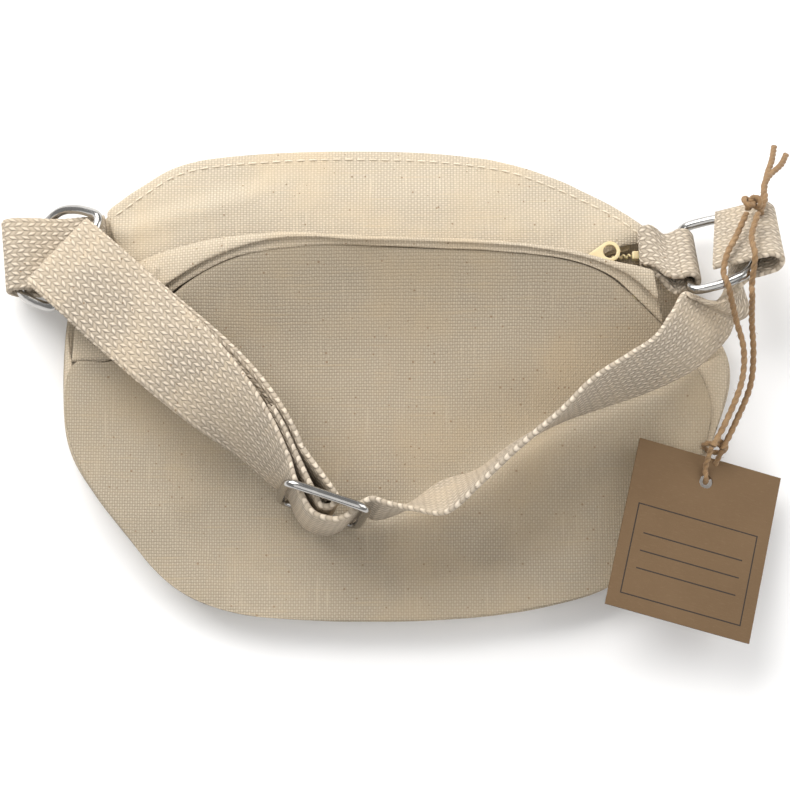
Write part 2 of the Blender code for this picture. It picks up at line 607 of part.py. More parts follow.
def strap_line():
    """The strap's middle line and width directions, from its sewn end to its folded end at the right D-ring."""
    upright = Vector(BUCKLE[1]).normalized()
    run, sides = spline_pairs([Vector(p) for p, _ in LEFT_RUN], [Vector(w) for _, w in LEFT_RUN], 40)
    reach = [0.0]
    for first, second in zip(run, run[1:]):
        reach.append(reach[-1] + (second - first).length)
    under = []
    for point, along, side, far in zip(run, tangents(run), sides, reach):
        down = side.cross(along).normalized()
        if down.dot(Vector((0.6, 0.4, -0.7))) < 0:
            down.negate()
        under.append((point, down, side, far))
    stations = []
    for point, down, side, far in reversed(under):
        if far <= SEWN_END:
            stations.append((point + down * 2.4, side))
    round_bar = SLIDER_WIRE / 2 + 0.4 + WEBBING / 2
    for angle in (140, 95, 50, 5, -40):
        a = math.radians(angle)
        stations.append((on_buckle(round_bar * math.cos(a), round_bar * math.sin(a)), upright))
    for point, down, side, far in under:
        share = far / reach[-1]
        stations.append((point + down * (4.9 + (RUN_GAP - 4.9) * share), side))
    fold_point, fold_down, fold_side, _ = under[-1]
    ahead = (run[-1] - run[-2]).normalized()
    for k in (1, 2, 3):
        a = math.pi / 4 * k
        middle = fold_point + fold_down * RUN_GAP / 2
        stations.append((middle + fold_down * RUN_GAP / 2 * math.cos(a) + ahead * RUN_GAP / 2 * math.sin(a), fold_side))
    for point, _, side, _ in reversed(under):
        stations.append((point, side))
    for along, out in THREADED:
        stations.append((on_buckle(along, out), upright))
    edges = [(Vector(a), Vector(b)) for a, b in RIGHT_RUN]
    edges += [(on_ring(RIGHT_RING, a), on_ring(RIGHT_RING, b)) for a, b in RIGHT_HOOK]
    for upper, lower in edges:
        stations.append(((upper + lower) / 2, (upper - lower).normalized()))
    return stations


def strap(material):
    """One length of webbing: sewn round the slider, up and round the left D-ring, and back through the slider."""
    knots, sides = zip(*strap_line())
    path, across = spline_pairs(knots, sides, 200)
    ribbon("strap_webbing", path, across, WEBBING_WIDTH, WEBBING, material)


def tabs(material):
    line = spline(LEFT_TAB, 40)
    ribbon("left_tab", line, [Vector(LEFT_TAB_WIDE)] * len(line), TAB_WIDTH, WEBBING, material)
    bar = Vector(RIGHT_RING[1])
    far = RING_WIRE / 2 + 0.4 + WEBBING / 2
    wrap = [(Vector(p), Vector(w) * width) for p, w, width in RIGHT_TAB_ROOT]
    wrap.append((on_ring(RIGHT_RING, (0, -4.6, -3.0)), bar * 19))
    for angle in (-120, -90, -45, 0, 45, 90, 120):
        a = math.radians(angle)
        wrap.append((on_ring(RIGHT_RING, (0, far * math.cos(a), far * math.sin(a))), bar * 21))
    wrap.append((on_ring(RIGHT_RING, (0, -4.6, 3.0)), bar * 19))
    wrap += [(Vector(p), Vector(w) * width) for p, w, width in RIGHT_TAB_END]
    line, sides = spline_pairs([p for p, _ in wrap], [w for _, w in wrap], 44)
    ribbon("right_tab", line, sides, [side.length for side in sides], WEBBING, material)


def tag(material):
    """A card with square corners and a punched hole near its upper edge."""
    middle, across, up = Vector(TAG_MIDDLE), Vector(TAG_ACROSS).normalized(), Vector(TAG_UP)
    up = (up - across * up.dot(across)).normalized()
    normal = across.cross(up)
    half_width, half_height = TAG_WIDTH / 2, TAG_HEIGHT / 2

    def place(a, b, c):
        return middle + across * a + up * b + normal * c

    corners = [(-half_width, -half_height), (half_width, -half_height), (half_width, half_height),
               (-half_width, half_height)]
    points = [place(a, b, c) for c in (-TAG_CARD / 2, TAG_CARD / 2) for a, b in corners]
    faces = [(3, 2, 1, 0), (4, 5, 6, 7), (0, 1, 5, 4), (1, 2, 6, 5), (2, 3, 7, 6), (3, 0, 4, 7)]
    card = outward(add_object("tag_card", points, faces, material))
    hole_up = half_height - 7.0
    ring = [(1.9 * math.cos(a), hole_up + 1.9 * math.sin(a)) for a in (2 * math.pi * k / 16 for k in range(16))]
    points = [place(a, b, c) for c in (-2, 2) for a, b in ring]
    faces = [(k, (k + 1) % 16, 16 + (k + 1) % 16, 16 + k) for k in range(16)]
    faces += [tuple(range(15, -1, -1)), tuple(range(16, 32))]
    punch = outward(add_object("tag_punch", points, faces, material))
    punch.hide_render = True
    punch.display_type = "WIRE"
    cut = card.modifiers.new("hole", "BOOLEAN")
    cut.operation = "DIFFERENCE"
    cut.object = punch


def ball(name, centre, radius, material):
    """A small round lump with eight sides, for a knot."""
    centre = Vector(centre)
    rings = []
    for k in range(1, 6):
        a = math.pi * k / 6
        rings.append([centre + radius * Vector((math.sin(a) * math.cos(b), math.cos(a), math.sin(a) * math.sin(b)))
                      for b in (2 * math.pi * s / 10 for s in range(10))])
    return sections(name, rings, material)


def twine(material):
    over = [on_ring(RIGHT_RING, p) for p in STRAND_OVER] + [Vector(p) for p in STRAND_OVER_DOWN]
    behind = [on_ring(RIGHT_RING, p) for p in STRAND_BEHIND] + [Vector(p) for p in STRAND_BEHIND_DOWN]
    left = [on_ring(RIGHT_RING, TAIL_LEFT[0])] + [Vector(p) for p in TAIL_LEFT[1:]]
    right = [on_ring(RIGHT_RING, TAIL_RIGHT[0])] + [Vector(p) for p in TAIL_RIGHT[1:]]
    for name, route in (("twine_front_strand", over), ("twine_back_strand", behind),
                        ("twine_tail_left", left), ("twine_tail_right", right)):
        length = sum((b - a).length for a, b in zip(route, route[1:]))
        cord(name, spline(route, max(6, round(length / (1.6 * TWINE)))), TWINE, material)
    ball("twine_knot", on_ring(RIGHT_RING, KNOT), 2.6, material)


def main():
    clear_scene()
    canvas = make_material("canvas", (0.66, 0.58, 0.44), 0.9)
    webbing = make_material("webbing", (0.74, 0.68, 0.56), 0.88)
    nylon = make_material("zip_nylon", (0.80, 0.70, 0.46), 0.45)
    tape = make_material("zip_tape", (0.76, 0.68, 0.50), 0.85)
    steel = make_material("steel", (0.55, 0.54, 0.51), 0.2, 1.0)
    card = make_material("kraft_card", (0.42, 0.27, 0.14), 0.8)
    jute = make_material("jute", (0.45, 0.28, 0.13), 0.85)
    back_panel(canvas)
    front_panel(canvas)
    gusset(canvas)
    front_band(canvas)
    rear_band(canvas)
    zip_parts(nylon, tape)
    slider_body(nylon)
    pull_tab(nylon)
    tabs(webbing)
    d_ring("left_d_ring", LEFT_RING, steel)
    d_ring("right_d_ring", RIGHT_RING, steel)
    strap(webbing)
    buckle(steel)
    tag(card)
    twine(jute)


main()
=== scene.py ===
"""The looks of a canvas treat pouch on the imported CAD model: cloth, webbing, zip, steel, tag and twine."""

import math
import random

import bmesh
import bpy
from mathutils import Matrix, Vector, noise
from mathutils.bvhtree import BVHTree


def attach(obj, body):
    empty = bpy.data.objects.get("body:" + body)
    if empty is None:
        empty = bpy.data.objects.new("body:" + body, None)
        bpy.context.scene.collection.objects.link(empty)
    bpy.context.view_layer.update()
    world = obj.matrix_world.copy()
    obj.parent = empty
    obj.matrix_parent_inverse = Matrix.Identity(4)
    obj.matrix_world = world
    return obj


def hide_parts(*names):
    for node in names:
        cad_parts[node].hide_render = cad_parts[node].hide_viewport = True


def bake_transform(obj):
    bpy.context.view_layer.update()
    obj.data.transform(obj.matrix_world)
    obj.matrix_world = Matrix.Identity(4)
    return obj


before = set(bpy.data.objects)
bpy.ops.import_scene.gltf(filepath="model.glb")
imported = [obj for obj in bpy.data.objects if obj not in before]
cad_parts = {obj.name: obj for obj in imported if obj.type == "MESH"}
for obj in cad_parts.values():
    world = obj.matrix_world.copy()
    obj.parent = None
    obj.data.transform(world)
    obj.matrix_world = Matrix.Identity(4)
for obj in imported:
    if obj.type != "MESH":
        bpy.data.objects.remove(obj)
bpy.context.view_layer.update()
MM = 0.001

# The same numbers as the CAD model, in millimetres.
WEBBING_WIDTH = 24.6
WEBBING = 1.7
RING_WIRE = 2.8
SLIDER_WIRE = 2.5
# The strap's left run, from its slider to the left D-ring: middle points and width directions.
LEFT_RUN = [
    ((-31.0, -26.6, 26.6), (0.24, 0.10, 0.96)),
    ((-38.2, -17.2, 29.2), (0.40, 0.28, 0.87)),
    ((-49.0, -6.2, 30.0), (0.56, 0.52, 0.64)),
    ((-61.8, 6.4, 27.8), (0.66, 0.65, 0.37)),
    ((-74.6, 18.6, 24.0), (0.69, 0.69, 0.22)),
    ((-84.8, 28.4, 22.9), (0.69, 0.70, 0.14)),
    ((-92.0, 35.1, 20.6), (0.68, 0.71, 0.11)),
]
RUN_GAP = 5.6
SEWN_END = 15.0
# The two edges of the strap's right run, then of its turn at the right D-ring in that ring's own directions.
RIGHT_RUN = [
    ((4.6, -38.4, 36.8), (4.0, -33.4, 13.4)), ((13.4, -39.0, 35.4), (12.6, -27.6, 14.8)),
    ((22.6, -31.2, 37.0), (22.4, -24.4, 14.4)), ((32.6, -21.8, 37.8), (32.4, -17.0, 14.6)),
    ((43.4, -12.6, 38.2), (44.6, -10.4, 14.6)), ((52.6, -3.4, 37.6), (57.6, -5.8, 14.8)),
    ((62.0, 3.0, 36.6), (70.0, -1.4, 15.2)), ((69.6, 8.6, 34.4), (82.0, 4.6, 15.0)),
    ((74.2, 16.0, 32.0), (91.0, 12.6, 14.6)), ((77.6, 21.6, 30.0), (93.6, 18.0, 12.4)),
]
RIGHT_HOOK = [
    ((19.2, 0.6, 1.6), (9.6, 13.0, -16.0)), ((18.8, 5.0, -2.6), (0.6, 12.8, -14.0)),
    ((15.6, 9.6, -4.4), (-8.0, 12.8, -8.2)), ((11.0, 15.4, -3.4), (-12.4, 16.0, -3.8)),
    ((10.8, 20.6, -3.0), (-12.8, 21.4, -3.0)), ((10.8, 24.2, -2.6), (-12.8, 24.6, -2.6)),
    ((10.8, 26.0, 0.0), (-12.8, 26.4, 0.0)), ((10.8, 24.2, 2.6), (-12.8, 24.6, 2.6)),
    ((10.8, 20.4, 3.1), (-12.8, 21.0, 3.1)), ((10.8, 14.0, 3.1), (-12.8, 15.0, 3.1)),
    ((10.8, 7.4, 3.2), (-12.8, 11.0, 3.2)),
]
# The tabs' middle lines. The right one has its width directions and widths too.
LEFT_TAB = [
    (-80.4, 38.0, 11.4), (-86.0, 37.8, 10.4), (-91.0, 37.6, 9.0), (-96.0, 37.6, 5.8), (-102.0, 37.6, 3.6),
    (-107.0, 37.6, 4.4), (-109.0, 37.6, 7.8), (-107.4, 37.6, 11.4), (-103.0, 37.6, 12.3), (-97.0, 37.6, 11.4),
    (-91.4, 37.6, 11.2), (-86.0, 37.8, 12.4), (-80.4, 38.0, 13.3),
]
LEFT_TAB_WIDE = (-0.10, 0.995, 0.0)
TAB_WIDTH = 21.0
RIGHT_TAB_ROOT = [
    ((67.4, 38.4, 14.2), (0.05, -0.99, 0.06), 11.0),
    ((71.0, 37.4, 14.6), (0.05, -0.95, 0.30), 14.0),
]
RIGHT_TAB_END = [
    ((71.0, 38.4, 17.0), (0.05, -0.95, 0.30), 14.0),
    ((67.4, 38.6, 16.4), (0.05, -0.99, 0.06), 11.0),
]
RIGHT_TAB_NECK = 19.0
# The middle of the right D-ring's bar, the bar's direction and the direction out over the ring.
RIGHT_RING = ((79.9, 34.8, 16.4), (0.03, -0.79, 0.615), (0.957, 0.2, 0.21))
# The strap slider's middle, its direction across the webbing and its direction along the webbing.
BUCKLE = ((-19.6, -35.4, 25.6), (0.115, 0.0, 0.993), (0.95, -0.30, -0.10))
# The strap's way through its slider: along the webbing and out of the slider's face.
THREADED = [
    (-9.3, -1.6), (-6.0, 2.0), (-3.0, 4.6), (0.0, 5.4), (4.0, 4.8), (6.6, 2.8), (8.3, 0.0), (11.4, -3.4),
    (16.0, -3.6),
]
# The two twine strands over the strap's end, in the right D-ring's directions, and then down to the tag.
STRAND_OVER = [(-2.6, 19.6, 8.4), (4, 15.6, 6.8), (10, 12.0, 6.0), (14.6, 10.0, 3.8), (18.6, 10.4, 2.4)]
STRAND_OVER_DOWN = [
    (92.6, 15.8, 24.4), (95, 8.3, 20.4), (94.5, -0.4, 17.2), (90.0, -11.2, 17.0), (86.2, -18.0, 17.8),
]
STRAND_BEHIND = [
    (-1.0, 22.6, 8.6), (6.4, 19.6, 7.2), (12.4, 19.4, 5.6), (14.4, 17.6, 1.0), (15.4, 16.4, -2.4),
    (18.2, 16.0, -3.0),
]
STRAND_BEHIND_DOWN = [
    (97.4, 16.4, 20.6), (98.2, 7.8, 16.0), (97.2, -1.0, 14.0), (92.6, -11.6, 14.4), (89.0, -18.6, 15.4),
]
KNOT = (-6.0, 21.6, 8.8)
TAIL_LEFT = [
    (100.5, 46.2, 22.5), (101.5, 50.9, 20), (102.7, 56.3, 16.5), (104.2, 61.2, 12.5), (106.0, 65.9, 8.5),
    (107.4, 71.2, 4.0),
]
TAIL_RIGHT = [
    (100.1, 46.5, 23.5), (101.9, 50.8, 21.5), (102.2, 55.5, 18), (104.6, 60.0, 13.5), (108.5, 64.5, 8.5),
    (110.7, 68.8, 4.0),
]
TAG_MIDDLE = (80.8, -43.4, 14.9)
TAG_ACROSS = (0.955, -0.245, -0.17)
TAG_UP = (0.225, 0.966, -0.13)
TAG_HALF_HEIGHT = 24.0
# The lip's facing is only in the scene. It hangs from the lip's fold to the front panel's rim and the side.
LIP_UPPER = [
    (-89.4, 17.0, 8.6), (-85.0, 26.0, 11.0), (-79.0, 31.0, 13.6), (-73.4, 33.4, 15.0), (-66, 36.3, 16.7),
    (-56, 38.5, 19.7), (-42, 39.7, 23.3), (-28, 39.5, 25.9), (-8, 37.9, 27.3), (12, 37.3, 27.3),
    (30, 36.6, 26.3), (46, 35.1, 24.9), (59, 32.3, 23.0), (66, 31.3, 21.7), (70.4, 30.4, 20.8),
]
LIP_LOWER = [
    (-89.6, 7.0, 12.6), (-84.5, 6.6, 12.8), (-77.5, 7.6, 13.8), (-71.4, 14.2, 15.1), (-62.8, 24.6, 17.8),
    (-48, 32.9, 21.5), (-36, 35.6, 23.6), (-20, 36.7, 25.2), (-4, 36.2, 26.2), (12, 35.5, 26.2),
    (28, 34.8, 25.9), (46.4, 33.0, 24.7), (58.6, 29.2, 21.9), (66.1, 23.5, 18.5), (74.0, 16.2, 15.9),
]
# The rear zip band's outer edge, seen from above.
REAR_HIGH = [
    (-81.5, 50.4), (-72, 57.4), (-62, 63.6), (-48, 66.6), (-22, 68.2), (8, 67.8), (30, 65), (45, 59.8),
    (60, 52.4), (70.6, 45.0),
]
ZIP_Y = 27.5
ZIP_Z = 10.5
ZIP_LEFT_X = -67.0
SLIDER_X = 44.0

# What only the scene draws, in millimetres. Its twine is 0.3 thicker than the CAD model's.
TWINE = 1.8
CLOTH = 0.9
SLIDER_ROOM = 0.8
COIL_TURN = 1.5
COIL_WIRE = 0.32
WEBBING_PICK = 1.55
STITCH = 3.4
STITCH_GAP = 0.9
STITCH_INSET = 2.9
THREAD = 0.24
YARN = 0.42
FIBRE = 0.045
LONG_TWIST = 4.6
SHORT_TWIST = 4.2
STRAP_STATIONS = 1000
END_YARNS = 22
DOWN = Vector((0, 0, -1))

# The width of the webbing's slanted cells, in metres.
CELL_WIDE = 0.00128


# Lines and sweeps ------------------------------------------------------------------------------------------

def spline_pairs(knots, values, count):
    """count points evenly along a smooth line through the knots, with the values blended the same way."""
    total = len(knots)
    dense, carried = [], []
    for source, out in ((knots, dense), (values, carried)):
        for i in range(total - 1):
            b, c = source[i], source[i + 1]
            a = source[i - 1] if i else b * 2 - c
            d = source[i + 2] if i + 2 < total else c * 2 - b
            for k in range(12):
                t = k / 12
                out.append(0.5 * (2 * b + (c - a) * t + (2 * a - 5 * b + 4 * c - d) * t**2
                                  + (3 * b - a - 3 * c + d) * t**3))
        out.append(source[-1].copy())
    lengths = [0.0]
    for first, second in zip(dense, dense[1:]):
        lengths.append(lengths[-1] + (second - first).length)
    line, sides = [], []
    place = 0
    for k in range(count):
        wanted = lengths[-1] * k / (count - 1)
        while place < len(dense) - 2 and lengths[place + 1] < wanted:
            place += 1
        span = lengths[place + 1] - lengths[place]
        share = (wanted - lengths[place]) / span if span else 0.0
        line.append(dense[place].lerp(dense[place + 1], share))
        sides.append(carried[place].lerp(carried[place + 1], share))
    return line, sides


def smooth_line(points, step):
    """Points about step apart on a smooth line through the given ones."""
    points = [Vector(p) for p in points]
    rough = sum((b - a).length for a, b in zip(points, points[1:]))
    return spline_pairs(points, points, max(6, round(rough / step)))[0]


def tangents(points):
    last = len(points) - 1
    return [(points[min(k + 1, last)] - points[max(k - 1, 0)]).normalized() for k in range(len(points))]


def distances(points):
    out = [0.0]
    for first, second in zip(points, points[1:]):
        out.append(out[-1] + (second - first).length)
    return out


def carried_normals(points):
    """Side directions that turn as little as they can along a line."""
    along = tangents(points)
    side = along[0].orthogonal().normalized()
    out = []
    for direction in along:
        side = (side - direction * side.dot(direction)).normalized()
        out.append(side)
    return out


def make_object(name, points, faces, material, uvs=None):
    """A smooth-shaded mesh from points in millimetres. uvs holds places on the cloth in metres."""
    mesh = bpy.data.meshes.new(name)
    mesh.from_pydata([tuple(Vector(p) * MM) for p in points], [], faces)
    if uvs:
        layer = mesh.uv_layers.new(name="cloth")
        for loop in mesh.loops:
            layer.data[loop.index].uv = uvs[loop.vertex_index]
    mesh.materials.append(material)
    mesh.shade_smooth()
    thing = bpy.data.objects.new(name, mesh)
    bpy.context.scene.collection.objects.link(thing)
    return thing


def sweep(rings, first=0):
    """Faces over rings of equal length, with an end cap on each end."""
    around = len(rings[0])
    faces = []
    for r in range(len(rings) - 1):
        for c in range(around):
            a, b = first + r * around + c, first + r * around + (c + 1) % around
            faces.append((a, b, b + around, a + around))
    faces.append(tuple(first + c for c in range(around - 1, -1, -1)))
    last = first + (len(rings) - 1) * around
    faces.append(tuple(last + c for c in range(around)))
    return faces


def outward(thing):
    """Turns the faces out if the mesh encloses a negative volume."""
    mesh = thing.data
    mesh.calc_loop_triangles()
    volume = 0.0
    for triangle in mesh.loop_triangles:
        a, b, c = (mesh.vertices[i].co for i in triangle.vertices)
        volume += a.dot(b.cross(c))
    if volume < 0:
        mesh.flip_normals()
    return thing


def tubes(name, lines, radius, material, sides=6):
    """Several thin round strands with narrowed ends, in one mesh."""
    points, faces = [], []
    for line in lines:
        line = [Vector(p) for p in line]
        rings = []
        for k, (point, along, side) in enumerate(zip(line, tangents(line), carried_normals(line))):
            up = along.cross(side)
            size = radius * 0.45 if k in (0, len(line) - 1) else radius
            rings.append([point + (side * math.cos(a) + up * math.sin(a)) * size
                          for a in (2 * math.pi * s / sides for s in range(sides))])
        faces += sweep(rings, len(points))
        points += [p for ring in rings for p in ring]
    return outward(make_object(name, points, faces, material))


# Shaders ---------------------------------------------------------------------------------------------------

class Look:
    """A node material, built a node at a time."""

    def __init__(self, name, roughness, sheen=0.0, metallic=0.0):
        self.material = bpy.data.materials.new(name)
        self.material.use_nodes = True
        self.tree = self.material.node_tree
        self.shader = self.tree.nodes["Principled BSDF"]
        self.shader.inputs["Roughness"].default_value = roughness
        self.shader.inputs["Metallic"].default_value = metallic
        if sheen:
            self.shader.inputs["Sheen Weight"].default_value = sheen
            self.shader.inputs["Sheen Roughness"].default_value = 0.6

    def plug(self, socket, value):
        if isinstance(value, bpy.types.NodeSocket):
            self.tree.links.new(value, socket)
        else:
            socket.default_value = value

    def math(self, operation, first, second=0.0, third=0.0):
        node = self.tree.nodes.new("ShaderNodeMath")
        node.operation = operation
        for socket, value in zip(node.inputs, (first, second, third)):
            self.plug(socket, value)
        return node.outputs[0]

    def mix(self, share, first, second):
        node = self.tree.nodes.new("ShaderNodeMix")
        node.data_type = "RGBA"
        self.plug(node.inputs["Factor"], share)
        self.plug(node.inputs[6], (*first, 1.0) if isinstance(first, tuple) else first)
        self.plug(node.inputs[7], (*second, 1.0) if isinstance(second, tuple) else second)
        return node.outputs[2]

    def vector(self, x, y, z=0.0):
        node = self.tree.nodes.new("ShaderNodeCombineXYZ")
        for socket, value in zip(node.inputs, (x, y, z)):
            self.plug(socket, value)
        return node.outputs[0]

    def noise(self, vector, scale, detail=2.0, rough=0.5):
        node = self.tree.nodes.new("ShaderNodeTexNoise")
        self.plug(node.inputs["Vector"], vector)
        node.inputs["Scale"].default_value = scale
        node.inputs["Detail"].default_value = detail
        node.inputs["Roughness"].default_value = rough
        return node.outputs[0]

    def ramp(self, value, low, high):
        node = self.tree.nodes.new("ShaderNodeMapRange")
        self.plug(node.inputs["Value"], value)
        node.inputs["From Min"].default_value = low
        node.inputs["From Max"].default_value = high
        return node.outputs[0]

    def coordinates(self, kind):
        return self.tree.nodes.new("ShaderNodeTexCoord").outputs[kind]

    def parts(self, vector):
        node = self.tree.nodes.new("ShaderNodeSeparateXYZ")
        self.plug(node.inputs[0], vector)
        return node.outputs

    def bump(self, height, depth):
        """depth is in metres for a height from 0 to 1."""
        node = self.tree.nodes.new("ShaderNodeBump")
        node.inputs["Strength"].default_value = 1.0
        node.inputs["Distance"].default_value = depth
        self.plug(node.inputs["Height"], height)
        self.plug(self.shader.inputs["Normal"], node.outputs[0])

    def specks(self, colour, scale, size, share, speck):
        """Scattered seed flecks: share of the cells hold one, of about size metres."""
        node = self.tree.nodes.new("ShaderNodeTexVoronoi")
        self.plug(node.inputs["Vector"], self.coordinates("Object"))
        node.inputs["Scale"].default_value = scale
        chance = self.parts(node.outputs["Color"])
        held = self.math("LESS_THAN", chance[0], share)
        reach = self.math("MULTIPLY", chance[1], size * scale)
        near = self.math("LESS_THAN", node.outputs["Distance"], reach)
        return self.mix(self.math("MULTIPLY", held, self.math("MULTIPLY", near, 0.70)), colour, speck)


def flat_places(look):
    """Two directions over the cloth from the object's own axes, picked by which way the surface faces."""
    x, y, z = look.parts(look.coordinates("Object"))[:]
    nx, ny, nz = (look.math("ABSOLUTE", part) for part in look.parts(look.coordinates("Normal"))[:])
    steep = look.math("LESS_THAN", nz, 0.42)
    sideways = look.math("MULTIPLY", steep, look.math("GREATER_THAN", nx, ny))
    across = look.math("MULTIPLY_ADD", sideways, look.math("SUBTRACT", y, x), x)
    upward = look.math("MULTIPLY_ADD", steep, look.math("SUBTRACT", z, y), y)
    return across, upward


def woven(look, u, v, pitch_u, pitch_v, lean, wander):
    """Height from 0 to 1 of a plain weave of round yarns, with a noise along the yarns and one across them.

    lean is how far the sunk cells drop, and wander how far in metres the threads stray.
    """
    here = look.vector(u, v)
    drift = look.math("SUBTRACT", look.noise(here, 130.0, 2.0), 0.5)
    drift_two = look.math("SUBTRACT", look.noise(look.vector(v, u, 0.37), 150.0, 2.0), 0.5)
    u = look.math("MULTIPLY_ADD", drift, wander, u)
    v = look.math("MULTIPLY_ADD", drift_two, wander, v)
    wave_u = look.math("SINE", look.math("MULTIPLY", u, math.pi / pitch_u))
    wave_v = look.math("SINE", look.math("MULTIPLY", v, math.pi / pitch_v))
    side = look.math("GREATER_THAN", look.math("MULTIPLY", wave_u, wave_v), 0.0)
    a, b = look.math("ABSOLUTE", wave_u), look.math("ABSOLUTE", wave_v)
    over = look.math("MULTIPLY", look.math("POWER", a, 0.8), look.math("POWER", b, 0.4))
    under = look.math("MULTIPLY", look.math("POWER", a, 0.4), look.math("POWER", b, 0.8))
    under = look.math("MULTIPLY", under, 1.0 - lean)
    height = look.math("MULTIPLY_ADD", side, look.math("SUBTRACT", over, under), under)
    yarn_u, yarn_v = look.math("MULTIPLY", u, 1 / pitch_u), look.math("MULTIPLY", v, 0.05 / pitch_v)
    yarns = look.noise(look.vector(yarn_u, yarn_v), 1.0, 1.0)
    pick_u, pick_v = look.math("MULTIPLY", u, 0.05 / pitch_u), look.math("MULTIPLY", v, 1 / pitch_v)
    picks = look.noise(look.vector(pick_u, pick_v, 3.1), 1.0, 1.0)
    return height, yarns, picks


def cloth_look(name, base, pitch_u, pitch_v, depth, places, lean=0.42, wander=0.0004, dark=0.56, flecks=0.95,
               warm=(1.05, 0.99, 0.90)):
    """Cloth of one base colour, with painted shade in the weave's gaps, pale and tan threads, broad stains
    and seed flecks.
    """
    look = Look(name, 0.9)
    u, v = places(look)
    height, yarns, picks = woven(look, u, v, pitch_u, pitch_v, lean, wander)
    fine = look.noise(look.coordinates("Object"), 2600.0, 2.0, 0.6)
    broad = look.noise(look.coordinates("Object"), 38.0, 3.0, 0.55)
    # low is painted shade, mixed in where the weave's cells sink; the fine noise below also darkens towards
    # it at random.
    low = tuple(c * dark * k for c, k in zip(base, (1.0, 0.95, 0.88)))
    high = tuple(min(c * 1.04, 1.0) for c in base)
    colour = look.mix(look.math("POWER", height, 0.7), low, high)
    pale = tuple(min(c * k, 1.0) for c, k in zip(base, (1.08, 1.07, 1.05)))
    tan = tuple(c * k for c, k in zip(base, (0.93 * warm[0], 0.90 * warm[1], 0.84 * warm[2])))
    colour = look.mix(look.math("MULTIPLY", look.ramp(yarns, 0.62, 0.80), 0.55), colour, pale)
    colour = look.mix(look.math("MULTIPLY", look.ramp(picks, 0.58, 0.78), 0.35), colour, tan)
    colour = look.mix(look.math("MULTIPLY", look.ramp(broad, 0.45, 0.72), 0.55), colour, tan)
    colour = look.mix(look.math("MULTIPLY", look.ramp(fine, 0.60, 0.85), 0.35), colour, low)
    colour = look.specks(colour, 430.0, 0.00034, flecks, (0.24, 0.155, 0.085))
    look.plug(look.shader.inputs["Base Color"], colour)
    look.bump(look.math("MULTIPLY_ADD", fine, 0.25, height), depth)
    return look.material


def chevron_places(look):
    """Across and along the webbing. The picks slant one way and then the other, as in a tape weave."""
    parts = look.parts(look.coordinates("UV"))
    across, along = parts[0], parts[1]
    turn = look.math("PINGPONG", look.math("ADD", across, 0.05), CELL_WIDE)
    return across, look.math("MULTIPLY_ADD", turn, 0.85, along)


# One canvas in lit and shaded copies: the front panel's is darker as painted shade, the rear band's is
# lighter as painted light, and the side copy, on the lip, back, gusset and facing, lies between them, raised
# for the lip's painted light.
canvas_front_painted_shade = cloth_look("canvas_front_painted_shade", (0.485, 0.416, 0.318), 0.00068, 0.00080, 0.00016, flat_places)
canvas_rear_painted_light = cloth_look("canvas_rear_painted_light", (0.665, 0.582, 0.460), 0.00085, 0.00065, 0.00018, flat_places)
canvas_side_painted_light = cloth_look("canvas_side_painted_light", (0.625, 0.540, 0.420), 0.00070, 0.00078, 0.00016, flat_places)
webbing = cloth_look("webbing", (0.700, 0.607, 0.490), CELL_WIDE, 0.00165, 0.00050, chevron_places, lean=0.75,
                     wander=0.0008, dark=0.40, flecks=0.9, warm=(1.02, 0.99, 0.94))
zip_tape = cloth_look("zip_tape", (0.640, 0.520, 0.340), 0.00045, 0.00060, 0.00010, flat_places, flecks=0.0)


def thread_look():
    look = Look("sewing_thread", 0.8, sheen=0.2)
    here = look.coordinates("Object")
    twist = look.noise(here, 1800.0, 2.0)
    look.plug(look.shader.inputs["Base Color"], look.mix(twist, (0.66, 0.55, 0.40), (0.84, 0.76, 0.62)))
    look.bump(twist, 0.00008)
    return look.material


def steel_look():
    look = Look("polished_steel", 0.16, metallic=1.0)
    here = look.coordinates("Object")
    marks = look.noise(here, 900.0, 4.0, 0.7)
    cloud = look.noise(here, 130.0, 2.0)
    look.plug(look.shader.inputs["Base Color"], look.mix(cloud, (0.36, 0.35, 0.34), (0.52, 0.51, 0.49)))
    look.plug(look.shader.inputs["Roughness"], look.math("MULTIPLY_ADD", marks, 0.16, 0.08))
    look.bump(marks, 0.00003)
    return look.material


def nylon_look():
    look = Look("moulded_nylon", 0.38)
    here = look.coordinates("Object")
    cloud = look.noise(here, 240.0, 3.0)
    grain = look.noise(here, 2600.0, 2.0)
    look.plug(look.shader.inputs["Base Color"], look.mix(cloud, (0.70, 0.565, 0.29), (0.80, 0.69, 0.43)))
    look.plug(look.shader.inputs["Roughness"], look.math("MULTIPLY_ADD", grain, 0.2, 0.3))
    look.shader.inputs["Subsurface Weight"].default_value = 0.08
    look.shader.inputs["Subsurface Scale"].default_value = 0.002
    look.bump(grain, 0.00002)
    return look.material


